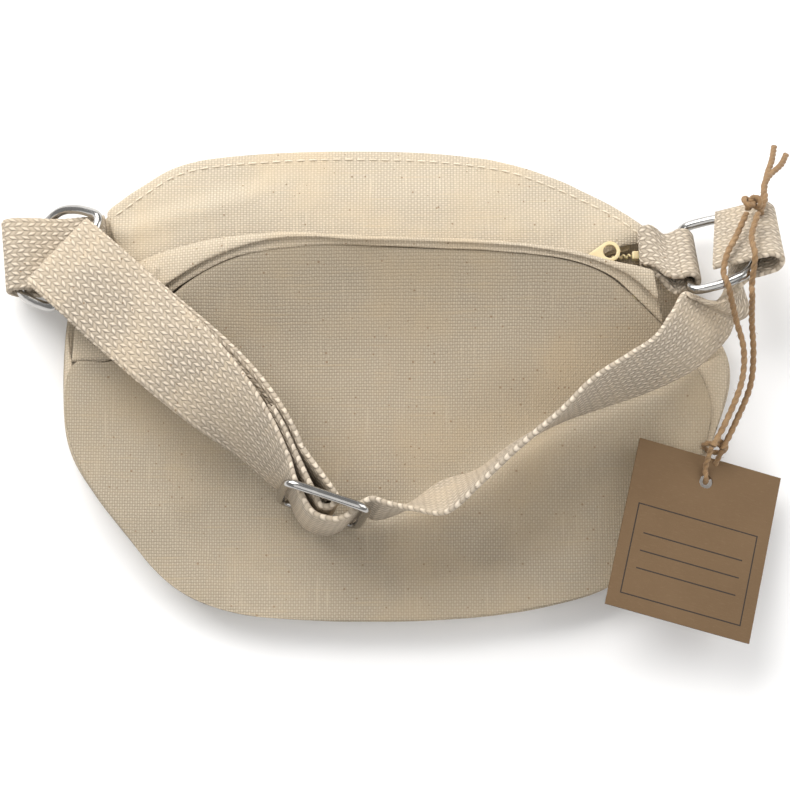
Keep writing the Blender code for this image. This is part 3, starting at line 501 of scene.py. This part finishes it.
def kraft_look():
    """Brown board with fibres, pale and dark specks, a thin printed frame and three plain rules."""
    half_wide, half_high, lowered = 0.0172, 0.0130, 0.0070
    frame_line, rule_half, rule_inset = 0.00035, 0.00018, 0.0030
    rules = (-0.0020, -0.0070, -0.0120)
    look = Look("kraft_board", 0.82)
    here = look.coordinates("Object")
    parts = look.parts(look.coordinates("UV"))
    u, v = parts[0], parts[1]
    broad = look.noise(here, 60.0, 3.0)
    stretched = look.vector(look.math("MULTIPLY", u, 420.0), look.math("MULTIPLY", v, 2600.0))
    fibres = look.noise(stretched, 1.0, 4.0, 0.7)
    fine = look.noise(here, 3200.0, 3.0, 0.7)
    colour = look.mix(broad, (0.132, 0.077, 0.034), (0.168, 0.102, 0.049))
    pale = look.math("MULTIPLY", look.ramp(fibres, 0.55, 0.80), 0.5)
    colour = look.mix(pale, colour, (0.238, 0.155, 0.083))
    dark = look.math("MULTIPLY", look.ramp(fine, 0.58, 0.80), 0.5)
    colour = look.mix(dark, colour, (0.119, 0.066, 0.030))
    edge_u = look.math("SUBTRACT", half_wide, look.math("ABSOLUTE", u))
    edge_v = look.math("SUBTRACT", half_high, look.math("ABSOLUTE", look.math("ADD", v, lowered)))
    inside = look.math("MINIMUM", edge_u, edge_v)
    on_line = look.math("LESS_THAN", inside, frame_line)
    ink = look.math("MULTIPLY", look.math("GREATER_THAN", inside, 0.0), on_line)
    clear = look.math("GREATER_THAN", inside, rule_inset)
    for height in rules:
        near = look.math("LESS_THAN", look.math("ABSOLUTE", look.math("SUBTRACT", v, height)), rule_half)
        ink = look.math("MAXIMUM", ink, look.math("MULTIPLY", near, clear))
    worn = look.math("MULTIPLY", ink, look.ramp(fine, 0.15, 0.42))
    colour = look.mix(look.math("MULTIPLY", worn, 0.92), colour, (0.015, 0.013, 0.013))
    look.plug(look.shader.inputs["Base Color"], colour)
    look.bump(look.math("ADD", fibres, fine), 0.00004)
    return look.material


def jute_look():
    look = Look("jute_twine", 0.72, sheen=0.15)
    parts = look.parts(look.coordinates("UV"))
    stretched = look.vector(look.math("MULTIPLY", parts[0], 5200.0), look.math("MULTIPLY", parts[1], 500.0))
    hairs = look.noise(stretched, 1.0, 4.0, 0.65)
    patch = look.noise(look.coordinates("Object"), 260.0, 2.0)
    colour = look.mix(look.ramp(hairs, 0.30, 0.70), (0.170, 0.085, 0.030), (0.430, 0.265, 0.120))
    colour = look.mix(look.math("MULTIPLY", look.ramp(patch, 0.5, 0.8), 0.5), colour, (0.50, 0.33, 0.17))
    look.plug(look.shader.inputs["Base Color"], colour)
    look.bump(hairs, 0.00022)
    return look.material


thread = thread_look()
steel = steel_look()
nylon = nylon_look()
kraft = kraft_look()
jute = jute_look()


# Pieces made from CAD solids -------------------------------------------------------------------------------

def finished(piece, body, slot, *nodes):
    """Puts a piece on the body it rides on and hides the CAD nodes that it replaces. The slot argument is not
    used.
    """
    if nodes:
        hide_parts(*nodes)
    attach(piece, body)
    return piece


def skin(node, name, material, levels=2, shape=None, bevel=0.0):
    """A finer copy of a CAD solid, rounded by subdivision or a bevel, then moved by shape(point, normal)."""
    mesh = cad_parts[node].data.copy()
    mesh.name = name
    mesh.materials.clear()
    mesh.materials.append(material)
    work = bmesh.new()
    work.from_mesh(mesh)
    bmesh.ops.remove_doubles(work, verts=work.verts, dist=2e-6)
    if bevel:
        bmesh.ops.dissolve_limit(work, angle_limit=math.radians(3), verts=work.verts, edges=work.edges)
        sharp = [e for e in work.edges if e.is_manifold and e.calc_face_angle(0.0) > math.radians(40)]
        bmesh.ops.bevel(work, geom=sharp, offset=bevel * MM, segments=3, profile=0.5, affect="EDGES",
                        clamp_overlap=True)
    else:
        bmesh.ops.join_triangles(work, faces=work.faces, angle_face_threshold=math.radians(35),
                                 angle_shape_threshold=math.radians(100))
    work.to_mesh(mesh)
    work.free()
    piece = bpy.data.objects.new(name, mesh)
    bpy.context.scene.collection.objects.link(piece)
    if levels and not bevel:
        finer = piece.modifiers.new("finer", "SUBSURF")
        finer.levels = finer.render_levels = levels
        graph = bpy.context.evaluated_depsgraph_get()
        better = bpy.data.meshes.new_from_object(piece.evaluated_get(graph))
        piece.modifiers.clear()
        piece.data = better
    if shape:
        moved = [v.co + v.normal * (shape(v.co / MM, v.normal) * MM) for v in piece.data.vertices]
        for vertex, place in zip(piece.data.vertices, moved):
            vertex.co = place
    piece.data.shade_smooth()
    if bevel:
        piece.data.set_sharp_from_angle(angle=math.radians(35))
    return piece


def ridge(point, start, end, width):
    """1 on the line from start to end, and 0 more than width beside it."""
    a, b, p = Vector(start), Vector(end), Vector((point.x, point.y))
    span = b - a
    share = max(0.0, min(1.0, (p - a).dot(span) / span.length_squared))
    away = (p - a - span * share).length / width
    return max(0.0, 1 - away * away) ** 2


def front_shape(point, normal):
    """Soft dents and folds of the front panel, in millimetres."""
    up = 1.0 if normal.z > 0.2 else 0.4
    soft = noise.noise(Vector((point.x * 0.030, point.y * 0.042, 1.7))) * 1.1
    soft += noise.noise(Vector((point.x * 0.085, point.y * 0.075, 8.3))) * 0.42
    soft -= 0.7 * ridge(point, (8, -47), (46, -39), 9)
    soft += 0.5 * ridge(point, (4, -55), (50, -48), 7)
    soft -= 0.7 * ridge(point, (-54, -38), (-38, -56), 8)
    soft += 0.5 * ridge(point, (-64, -34), (-50, -55), 6)
    soft += 0.4 * ridge(point, (30, 8), (60, -2), 12)
    rim = min(1.0, max(0.0, (point.z - 9.0) / 14.0))
    return soft * up * (1.0 - 0.6 * rim)


def rear_shape(point, normal):
    """Ripples of the rear zip band and its crease beside the left tab."""
    soft = noise.noise(Vector((point.x * 0.045, point.y * 0.09, 4.2))) * 0.55
    soft += noise.noise(Vector((point.x * 0.14, point.y * 0.12, 2.9))) * 0.22
    soft += 0.7 * ridge(point, (-79, 43), (-41, 54), 4.5)
    soft -= 0.35 * ridge(point, (-74, 50), (-40, 60), 4.5)
    return soft * (1.0 if normal.z > 0.2 else 0.0)


def lip_shape(point, normal):
    """Small ripples of the folded lip."""
    soft = noise.noise(Vector((point.x * 0.06, point.y * 0.10, 6.1))) * 0.30
    return soft * (1.0 if normal.z > -0.2 else 0.4)


def back_shape(point, normal):
    """The back panel is flat on the floor and only its rim ripples."""
    lift = min(1.0, max(0.0, (point.z - 2.0) / 3.0))
    return noise.noise(Vector((point.x * 0.06, point.y * 0.06, 3.3))) * 0.5 * lift


def side_shape(point, normal):
    """Small ripples of the side gusset."""
    return noise.noise(Vector((point.x * 0.07, point.y * 0.07, point.z * 0.2))) * 0.25


front = finished(skin("front_panel", "front_panel_cloth", canvas_front_painted_shade, 2, front_shape), "pouch", "canvas",
                 "front_panel")
back = finished(skin("back_panel", "back_panel_cloth", canvas_side_painted_light, 2, back_shape), "pouch", "canvas",
                "back_panel")
gusset = finished(skin("side_gusset", "side_gusset_cloth", canvas_side_painted_light, 2, side_shape), "pouch", "canvas",
                  "side_gusset")
lip = finished(skin("front_zip_band", "front_zip_band_cloth", canvas_side_painted_light, 2, lip_shape), "pouch", "canvas",
               "front_zip_band")
for vertex in lip.data.vertices:  # the zip slider passes under this stretch of the lip
    if vertex.co.y < 0.0325 and 0.0130 < vertex.co.z < 0.0185:
        vertex.co.z += SLIDER_ROOM * MM
rear = finished(skin("rear_zip_band", "rear_zip_band_cloth", canvas_rear_painted_light, 2, rear_shape), "pouch", "canvas",
                "rear_zip_band")


def facing(name, upper, lower, rows=7, count=160):
    """A strip of canvas from the lip's fold down to the front panel's rim."""
    top, bottom = smooth_line(upper, 1.0), smooth_line(lower, 1.0)
    top = spline_pairs(top, top, count)[0]
    bottom = spline_pairs(bottom, bottom, count)[0]
    grid = []
    for k in range(rows):
        share = k / (rows - 1)
        sag = math.sin(math.pi * share)
        grid.append([a.lerp(b, share) - Vector((0, 0, sag * max(0.0, (b - a).length - 4.0) * 0.07))
                     for a, b in zip(top, bottom)])
    points = [p for row in grid for p in row]
    points += [p + DOWN * CLOTH for p in points]
    under = rows * count
    faces = []
    for r in range(rows - 1):
        for c in range(count - 1):
            a = r * count + c
            faces.append((a, a + 1, a + count + 1, a + count))
            faces.append((under + a, under + a + count, under + a + count + 1, under + a + 1))
    rim = list(range(count)) + [r * count + count - 1 for r in range(1, rows)]
    rim += [(rows - 1) * count + c for c in range(count - 2, -1, -1)]
    rim += [r * count for r in range(rows - 2, 0, -1)]
    faces += [(b, a, under + a, under + b) for a, b in zip(rim, rim[1:] + rim[:1])]
    return finished(outward(make_object(name, points, faces, canvas_side_painted_light)), "pouch", "canvas")


lip_facing = facing("lip_facing_cloth", LIP_UPPER, LIP_LOWER)


def moulded(node, body, bevel):
    finished(skin(node, node + "_moulded", nylon, bevel=bevel), body, "zip_nylon", node)


for side_name in ("rear", "front"):
    tape = "zip_tape_" + side_name
    finished(skin(tape, tape + "_woven", zip_tape, 1), "pouch", "zip_tape", tape)
    moulded("zip_top_stop_" + side_name, "pouch", 0.4)
moulded("zip_bottom_stop", "pouch", 0.5)
moulded("zip_slider", "zip_slider", 0.3)
moulded("zip_pull_tab", "zip_pull", 0.28)
for steel_node in ("left_d_ring", "right_d_ring", "slider_frame", "slider_centre_bar"):
    finished(skin(steel_node, steel_node + "_polished", steel, 2), "strap", "steel", steel_node)


# Zip coils -------------------------------------------------------------------------------------------------

def zip_coil(node, offset, opening):
    """A nylon spiral along the coil's line. opening is how far its right end has moved away from the zip."""
    y = ZIP_Y + offset
    knots = [
        (ZIP_LEFT_X, y, ZIP_Z), (0, y, ZIP_Z), (SLIDER_X - 1, y, ZIP_Z), (47.5, y + 0.03 * opening, ZIP_Z),
        (54, y + 0.52 * opening, ZIP_Z + 0.2), (60, y + 0.9 * opening, ZIP_Z + 0.3),
        (65.5, y + opening, ZIP_Z),
    ]
    line = smooth_line(knots, 0.16)
    path = []
    for point, along, reach in zip(line, tangents(line), distances(line)):
        angle = 2 * math.pi * reach / COIL_TURN
        level = Vector((-along.y, along.x, 0)).normalized()
        path.append(point + level * 0.50 * math.cos(angle) + Vector((0, 0, 0.46 * math.sin(angle))))
    finished(tubes(node + "_spiral", [path], COIL_WIRE, nylon), "pouch", "zip_nylon", node)


zip_coil("zip_coil_rear", 1.25, 8.6)
zip_coil("zip_coil_front", -1.25, -0.6)


# Webbing ---------------------------------------------------------------------------------------------------

def on_ring(place):
    """A point along the right D-ring's bar, out over the ring and up off it."""
    bar, along, deep = (Vector(v) for v in RIGHT_RING)
    along.normalize()
    deep = (deep - along * deep.dot(along)).normalized()
    return bar + along * place[0] + deep * place[1] + along.cross(deep) * place[2]


def on_buckle(along, out):
    """A point along the strap slider's long sides and out of its face."""
    middle, wide, long = (Vector(v) for v in BUCKLE)
    wide.normalize()
    long = (long - wide * long.dot(wide)).normalized()
    return middle + long * along - wide.cross(long) * out


def strap_line():
    """The strap's middle line with its width directions, from its sewn end to the right D-ring."""
    sewn_gap, under_gap = 2.4, 4.9
    upright = Vector(BUCKLE[1]).normalized()
    run, sides = spline_pairs([Vector(p) for p, _ in LEFT_RUN], [Vector(w) for _, w in LEFT_RUN], 40)
    under = []
    for point, along, side, far in zip(run, tangents(run), sides, distances(run)):
        down = side.cross(along).normalized()
        if down.dot(Vector((0.6, 0.4, -0.7))) < 0:
            down.negate()
        under.append((point, down, side, far))
    stations = [(point + down * sewn_gap, side) for point, down, side, far in reversed(under)
                if far <= SEWN_END]
    round_bar = SLIDER_WIRE / 2 + 0.4 + WEBBING / 2
    for angle in (140, 95, 50, 5, -40):
        a = math.radians(angle)
        stations.append((on_buckle(round_bar * math.cos(a), round_bar * math.sin(a)), upright))
    for point, down, side, far in under:
        stations.append((point + down * (under_gap + (RUN_GAP - under_gap) * far / under[-1][3]), side))
    fold_point, fold_down, fold_side, _ = under[-1]
    ahead = (run[-1] - run[-2]).normalized()
    for k in (1, 2, 3):
        a = math.pi / 4 * k
        middle = fold_point + fold_down * RUN_GAP / 2
        stations.append((middle + fold_down * RUN_GAP / 2 * math.cos(a) + ahead * RUN_GAP / 2 * math.sin(a),
                         fold_side))
    stations += [(point, side) for point, _, side, _ in reversed(under)]
    stations += [(on_buckle(along, out), upright) for along, out in THREADED]
    edges = [(Vector(a), Vector(b)) for a, b in RIGHT_RUN]
    edges += [(on_ring(a), on_ring(b)) for a, b in RIGHT_HOOK]
    stations += [((upper + lower) / 2, (upper - lower).normalized()) for upper, lower in edges]
    return stations


# The webbing's cross-section, in shares of its half width and half thickness.
PROFILE = [
    (-1.0, 0.0), (-0.988, -0.55), (-0.955, -0.90), (-0.90, -1.0), (-0.45, -0.97), (0.0, -0.97), (0.45, -0.97),
    (0.90, -1.0), (0.955, -0.90), (0.988, -0.55), (1.0, 0.0), (0.988, 0.55), (0.955, 0.90), (0.90, 1.0),
    (0.45, 0.97), (0.0, 0.97), (-0.45, 0.97), (-0.90, 1.0), (-0.955, 0.90), (-0.988, 0.55),
]


def band(name, line, sides, widths, seed):
    """Webbing with uneven woven edges. Its cloth coordinates run across it and along it."""
    uvs, rings = [], []
    for middle, along, side, wide, reach in zip(line, tangents(line), sides, widths, distances(line)):
        side = side.normalized()
        up = side.cross(along).normalized()
        pick = 0.16 * abs(math.sin(math.pi * reach / WEBBING_PICK)) - 0.16
        loose = noise.noise(Vector((reach * 0.5, seed, 0))) * 0.10
        thick = WEBBING / 2 * (1.0 + 0.05 * noise.noise(Vector((reach * 0.8, seed, 5))))
        ring = []
        for a, b in PROFILE:
            edge = max(0.0, (abs(a) - 0.9) / 0.1) * math.copysign(1, a)
            ring.append(middle + side * (wide / 2 * a + edge * (pick + loose)) + up * thick * b)
            uvs.append((wide / 2 * a * MM, reach * MM))
        rings.append(ring)
    points = [p for ring in rings for p in ring]
    return outward(make_object(name, points, sweep(rings), webbing, uvs))


strap_knots, knot_sides = zip(*strap_line())
strap_path, strap_sides = spline_pairs(strap_knots, knot_sides, STRAP_STATIONS)
strap = band("strap_woven", strap_path, strap_sides, [WEBBING_WIDTH] * STRAP_STATIONS, 0.3)
finished(strap, "strap", "webbing", "strap_webbing")

left_line = smooth_line(LEFT_TAB, 0.4)
left_sides = [Vector(LEFT_TAB_WIDE)] * len(left_line)
left_tab = band("left_tab_woven", left_line, left_sides, [TAB_WIDTH] * len(left_line), 2.2)
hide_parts("left_tab")
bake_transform(left_tab)

# The right tab's route and its width directions, whose lengths are the tab's width there.
bar = Vector(RIGHT_RING[1])
far_from_bar = RING_WIRE / 2 + 0.4 + WEBBING / 2
wrap = [(Vector(p), Vector(w) * width) for p, w, width in RIGHT_TAB_ROOT]
wrap.append((on_ring((0, -4.6, -3.0)), bar * RIGHT_TAB_NECK))
for turn in (-120, -90, -45, 0, 45, 90, 120):
    turned = math.radians(turn)
    place = on_ring((0, far_from_bar * math.cos(turned), far_from_bar * math.sin(turned)))
    wrap.append((place, bar * TAB_WIDTH))
wrap.append((on_ring((0, -4.6, 3.0)), bar * RIGHT_TAB_NECK))
wrap += [(Vector(p), Vector(w) * width) for p, w, width in RIGHT_TAB_END]
right_line, right_sides = spline_pairs([p for p, _ in wrap], [w for _, w in wrap], 110)
right_tab = band("right_tab_woven", right_line, right_sides, [side.length for side in right_sides], 7.7)
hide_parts("right_tab")
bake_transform(right_tab)


# Stitching -------------------------------------------------------------------------------------------------

def stitches_on(piece, line):
    """Short thread lengths on the piece's surface, straight below a line."""
    tree = BVHTree.FromObject(piece, bpy.context.evaluated_depsgraph_get())
    far = distances(line)
    place = 0

    def at(reach):
        nonlocal place
        while place < len(far) - 2 and far[place + 1] < reach:
            place += 1
        span = far[place + 1] - far[place]
        point = line[place].lerp(line[place + 1], (reach - far[place]) / span)
        hit, normal, _, _ = tree.ray_cast((point - DOWN * 60.0) * MM, DOWN)
        return (hit / MM, normal) if hit else (None, None)

    runs = []
    reach = STITCH / 2
    while reach + STITCH < far[-1]:
        shares = (0.0, 0.12, 0.5, 0.88, 1.0)
        lifts = (-0.25, 0.10, 0.20, 0.10, -0.25)
        found = [at(reach + (STITCH - STITCH_GAP) * share) for share in shares]
        if all(hit is not None for hit, _ in found):
            runs.append([hit + normal * lift for (hit, normal), lift in zip(found, lifts)])
        reach += STITCH
    return runs


high = smooth_line([Vector((x, y, 20)) for x, y in REAR_HIGH], 0.8)
inward = [point + Vector((along.y, -along.x, 0)) * STITCH_INSET for point, along in zip(high, tangents(high))]
finished(tubes("rear_band_topstitch", stitches_on(rear, inward), THREAD, thread), "pouch", "canvas")

# Cut yarns stand out of the strap's sewn end.
fray = random.Random(41)
strands = []
first, second = strap_path[0], strap_path[6]
end_along = (first - second).normalized()
end_side = strap_sides[0].normalized()
end_up = end_side.cross(end_along).normalized()
for k in range(END_YARNS):
    offset = (k + 0.5) / END_YARNS * 2 - 1
    root = first + end_side * (offset * (WEBBING_WIDTH / 2 - 0.5)) + end_up * fray.uniform(-0.45, 0.45)
    tip = root + end_along * fray.uniform(0.5, 1.7)
    tip = tip + end_side * fray.uniform(-0.4, 0.4) + end_up * fray.uniform(-0.3, 0.3)
    bent = root.lerp(tip, 0.5) + end_up * fray.uniform(-0.1, 0.1)
    strands.append([root - end_along * 1.5, root, bent, tip])
finished(tubes("strap_end_yarns", strands, YARN, webbing), "strap", "webbing")


# Hang tag and twine ----------------------------------------------------------------------------------------

tag_middle, tag_across = Vector(TAG_MIDDLE), Vector(TAG_ACROSS).normalized()
tag_up = Vector(TAG_UP)
tag_up = (tag_up - tag_across * tag_up.dot(tag_across)).normalized()
tag_face = tag_across.cross(tag_up)


def on_tag(a, b, c):
    """A point across, up and out of the tag's face."""
    return tag_middle + tag_across * a + tag_up * b + tag_face * c


card = skin("tag_card", "tag_board", kraft, bevel=0.12)
card_uv = card.data.uv_layers.new(name="cloth")
for loop in card.data.loops:
    away = card.data.vertices[loop.vertex_index].co / MM - tag_middle
    card_uv.data[loop.index].uv = (away.dot(tag_across) * MM, away.dot(tag_up) * MM)
card.data.uv_layers.active = card_uv
finished(card, "tag", "kraft_card", "tag_card")


def twisted(name, route, diameter, twist, seed, pieces=18):
    """Twine of two plies twisted together, one closed tube, and its loose fibres in a second piece."""
    line = smooth_line(route, 0.35)
    far = distances(line)
    uvs, rings = [], []
    shuffle = random.Random(seed)
    for point, along, side, reach in zip(line, tangents(line), carried_normals(line), far):
        up = along.cross(side)
        spin = 2 * math.pi * reach / twist
        size = diameter / 2 * (1.0 + 0.06 * noise.noise(Vector((reach * 0.35, seed, 0))))
        ring = []
        for s in range(pieces):
            a = 2 * math.pi * s / pieces
            swell = 0.66 + 0.34 * abs(math.cos(a)) ** 0.8
            ring.append(point + (side * math.cos(a + spin) + up * math.sin(a + spin)) * size * swell)
            uvs.append((s / pieces * diameter * math.pi * MM, reach * MM))
        rings.append(ring)
    points = [p for ring in rings for p in ring]
    tube = outward(make_object(name, points, sweep(rings), jute, uvs))
    hairs = []
    for _ in range(int(far[-1] * 0.8)):
        k = shuffle.randrange(2, len(line) - 2)
        out = Vector((shuffle.gauss(0, 1), shuffle.gauss(0, 1), shuffle.gauss(0, 1))).normalized()
        along = (line[k + 1] - line[k]).normalized()
        lean = (out - along * out.dot(along) * 0.4).normalized()
        base = line[k] + lean * diameter * 0.36
        reach = shuffle.uniform(0.5, 1.7)
        bend = along * shuffle.uniform(-0.7, 0.7) * reach
        hairs.append([base, base + lean * reach * 0.45 + bend * 0.3, base + lean * reach * 0.7 + bend])
    fibres = tubes(name + "_fibres", hairs, FIBRE, jute, 4)
    return tube, fibres, line, far[-1]


KNOT_AT = on_ring(KNOT)
HOLE_UP = TAG_HALF_HEIGHT - 7.0
routes = {
    "twine_front": [on_ring(p) for p in STRAND_OVER] + [Vector(p) for p in STRAND_OVER_DOWN],
    "twine_back": [on_ring(p) for p in STRAND_BEHIND] + [Vector(p) for p in STRAND_BEHIND_DOWN],
}
for number, (name, route) in enumerate(routes.items()):
    tube, fibres, line, length = twisted(name + "_twisted", route, TWINE, LONG_TWIST, 11 + number)
    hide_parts("twine_front_strand" if number == 0 else "twine_back_strand")
    for piece in (tube, fibres):
        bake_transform(piece)

for number, (name, tail) in enumerate((("twine_tail_left", TAIL_LEFT), ("twine_tail_right", TAIL_RIGHT))):
    route = [Vector(p) for p in tail]
    tube, fibres, _, _ = twisted(name + "_twisted", route, TWINE, SHORT_TWIST, 21 + number)
    finished(tube, "strap", "jute", name)
    finished(fibres, "strap", "jute")

# One overhand knot stands where the strands and the tails meet.
turns = []
for k in range(45):
    a = 2 * math.pi * k / 42
    turns.append(KNOT_AT + Vector((math.sin(a) + 2 * math.sin(2 * a), -math.sin(3 * a) * 1.5,
                                   math.cos(a) - 2 * math.cos(2 * a))) * 0.78)
knot, knot_fibres, _, _ = twisted("twine_knot_turns", turns, TWINE * 0.98, SHORT_TWIST, 31)
finished(knot, "strap", "jute", "twine_knot")
finished(knot_fibres, "strap", "jute")

# The hitch goes down over the card, through the hole and up behind it, with one turn round both strands.
front_end, back_end = Vector(STRAND_OVER_DOWN[-1]), Vector(STRAND_BEHIND_DOWN[-1])
hitch = [
    front_end + Vector((-0.4, -0.4, 0.3)), on_tag(-1.3, HOLE_UP + 3.6, 1.8), on_tag(-0.5, HOLE_UP + 0.9, 1.4),
    on_tag(0, HOLE_UP, 0), on_tag(0.4, HOLE_UP + 0.9, -1.4), on_tag(1.6, HOLE_UP + 4.2, -1.6), back_end,
]
hitch_tube, hitch_fibres, _, _ = twisted("twine_hitch", hitch, TWINE * 0.9, SHORT_TWIST, 41)
finished(hitch_tube, "tag", "jute")
finished(hitch_fibres, "tag", "jute")
loop_middle = on_tag(0.4, TAG_HALF_HEIGHT + 2.4, 0.6)
loop = []
for k in range(15):
    a = 2 * math.pi * k / 12 + 0.4
    loop.append(loop_middle + tag_across * (3.1 * math.cos(a)) + tag_face * (2.4 * math.sin(a))
                + tag_up * (0.7 * math.sin(a) + 0.10 * k))
loop_tube, loop_fibres, _, _ = twisted("twine_hitch_turn", loop, TWINE * 0.85, SHORT_TWIST, 51)
finished(loop_tube, "tag", "jute")
finished(loop_fibres, "tag", "jute")


# Stage -----------------------------------------------------------------------------------------------------

def floor_look():
    look = Look("studio_floor", 0.9)
    cloud = look.noise(look.coordinates("Object"), 3.0)
    look.plug(look.shader.inputs["Base Color"], look.mix(cloud, (0.93, 0.93, 0.93), (0.95, 0.95, 0.95)))
    return look.material


FLOOR_HALF = 3000.0
FLOOR_Z = -0.3
corners = [(x * FLOOR_HALF, y * FLOOR_HALF, FLOOR_Z) for x, y in ((-1, -1), (1, -1), (1, 1), (-1, 1))]
floor = make_object("floor", corners, [(0, 1, 2, 3)], floor_look())


def area_light(name, place, size, watts, colour):
    """A square lamp aimed at the origin."""
    light = bpy.data.lights.new(name, "AREA")
    light.size = size
    light.energy = watts
    light.color = colour
    lamp = bpy.data.objects.new(name, light)
    lamp.location = place
    lamp.rotation_euler = (-Vector(place)).to_track_quat("-Z", "Y").to_euler()
    bpy.context.scene.collection.objects.link(lamp)


area_light("key", (-0.34, 0.52, 0.52), 0.75, 9.4, (1.0, 0.985, 0.965))
area_light("fill", (-0.10, -0.55, 0.80), 1.0, 3.0, (1.0, 0.99, 0.98))
area_light("side", (0.62, 0.05, 0.42), 0.60, 2.6, (1.0, 0.99, 0.98))
WORLD_LIGHT = 0.36
world = bpy.data.worlds.new("studio")
bpy.context.scene.world = world
world.use_nodes = True
world.node_tree.nodes["Background"].inputs[0].default_value = (1.0, 1.0, 1.0, 1.0)
world.node_tree.nodes["Background"].inputs[1].default_value = WORLD_LIGHT

bpy.context.scene.view_settings.view_transform = "Standard"

VIEW_DISTANCE = 0.75
VIEW_WIDTH = 0.2212
VIEW_ELEVATION = math.radians(78)
VIEW_SHIFT = -0.00127
SENSOR = 36
camera = bpy.data.cameras.new("camera")
camera.sensor_width = SENSOR
camera.lens = SENSOR * VIEW_DISTANCE / VIEW_WIDTH
camera.shift_x = VIEW_SHIFT
viewer = bpy.data.objects.new("camera", camera)
viewer.location = (0, -VIEW_DISTANCE * math.cos(VIEW_ELEVATION), VIEW_DISTANCE * math.sin(VIEW_ELEVATION))
viewer.rotation_euler = (-viewer.location).to_track_quat("-Z", "Y").to_euler()
bpy.context.scene.collection.objects.link(viewer)
bpy.context.scene.camera = viewer
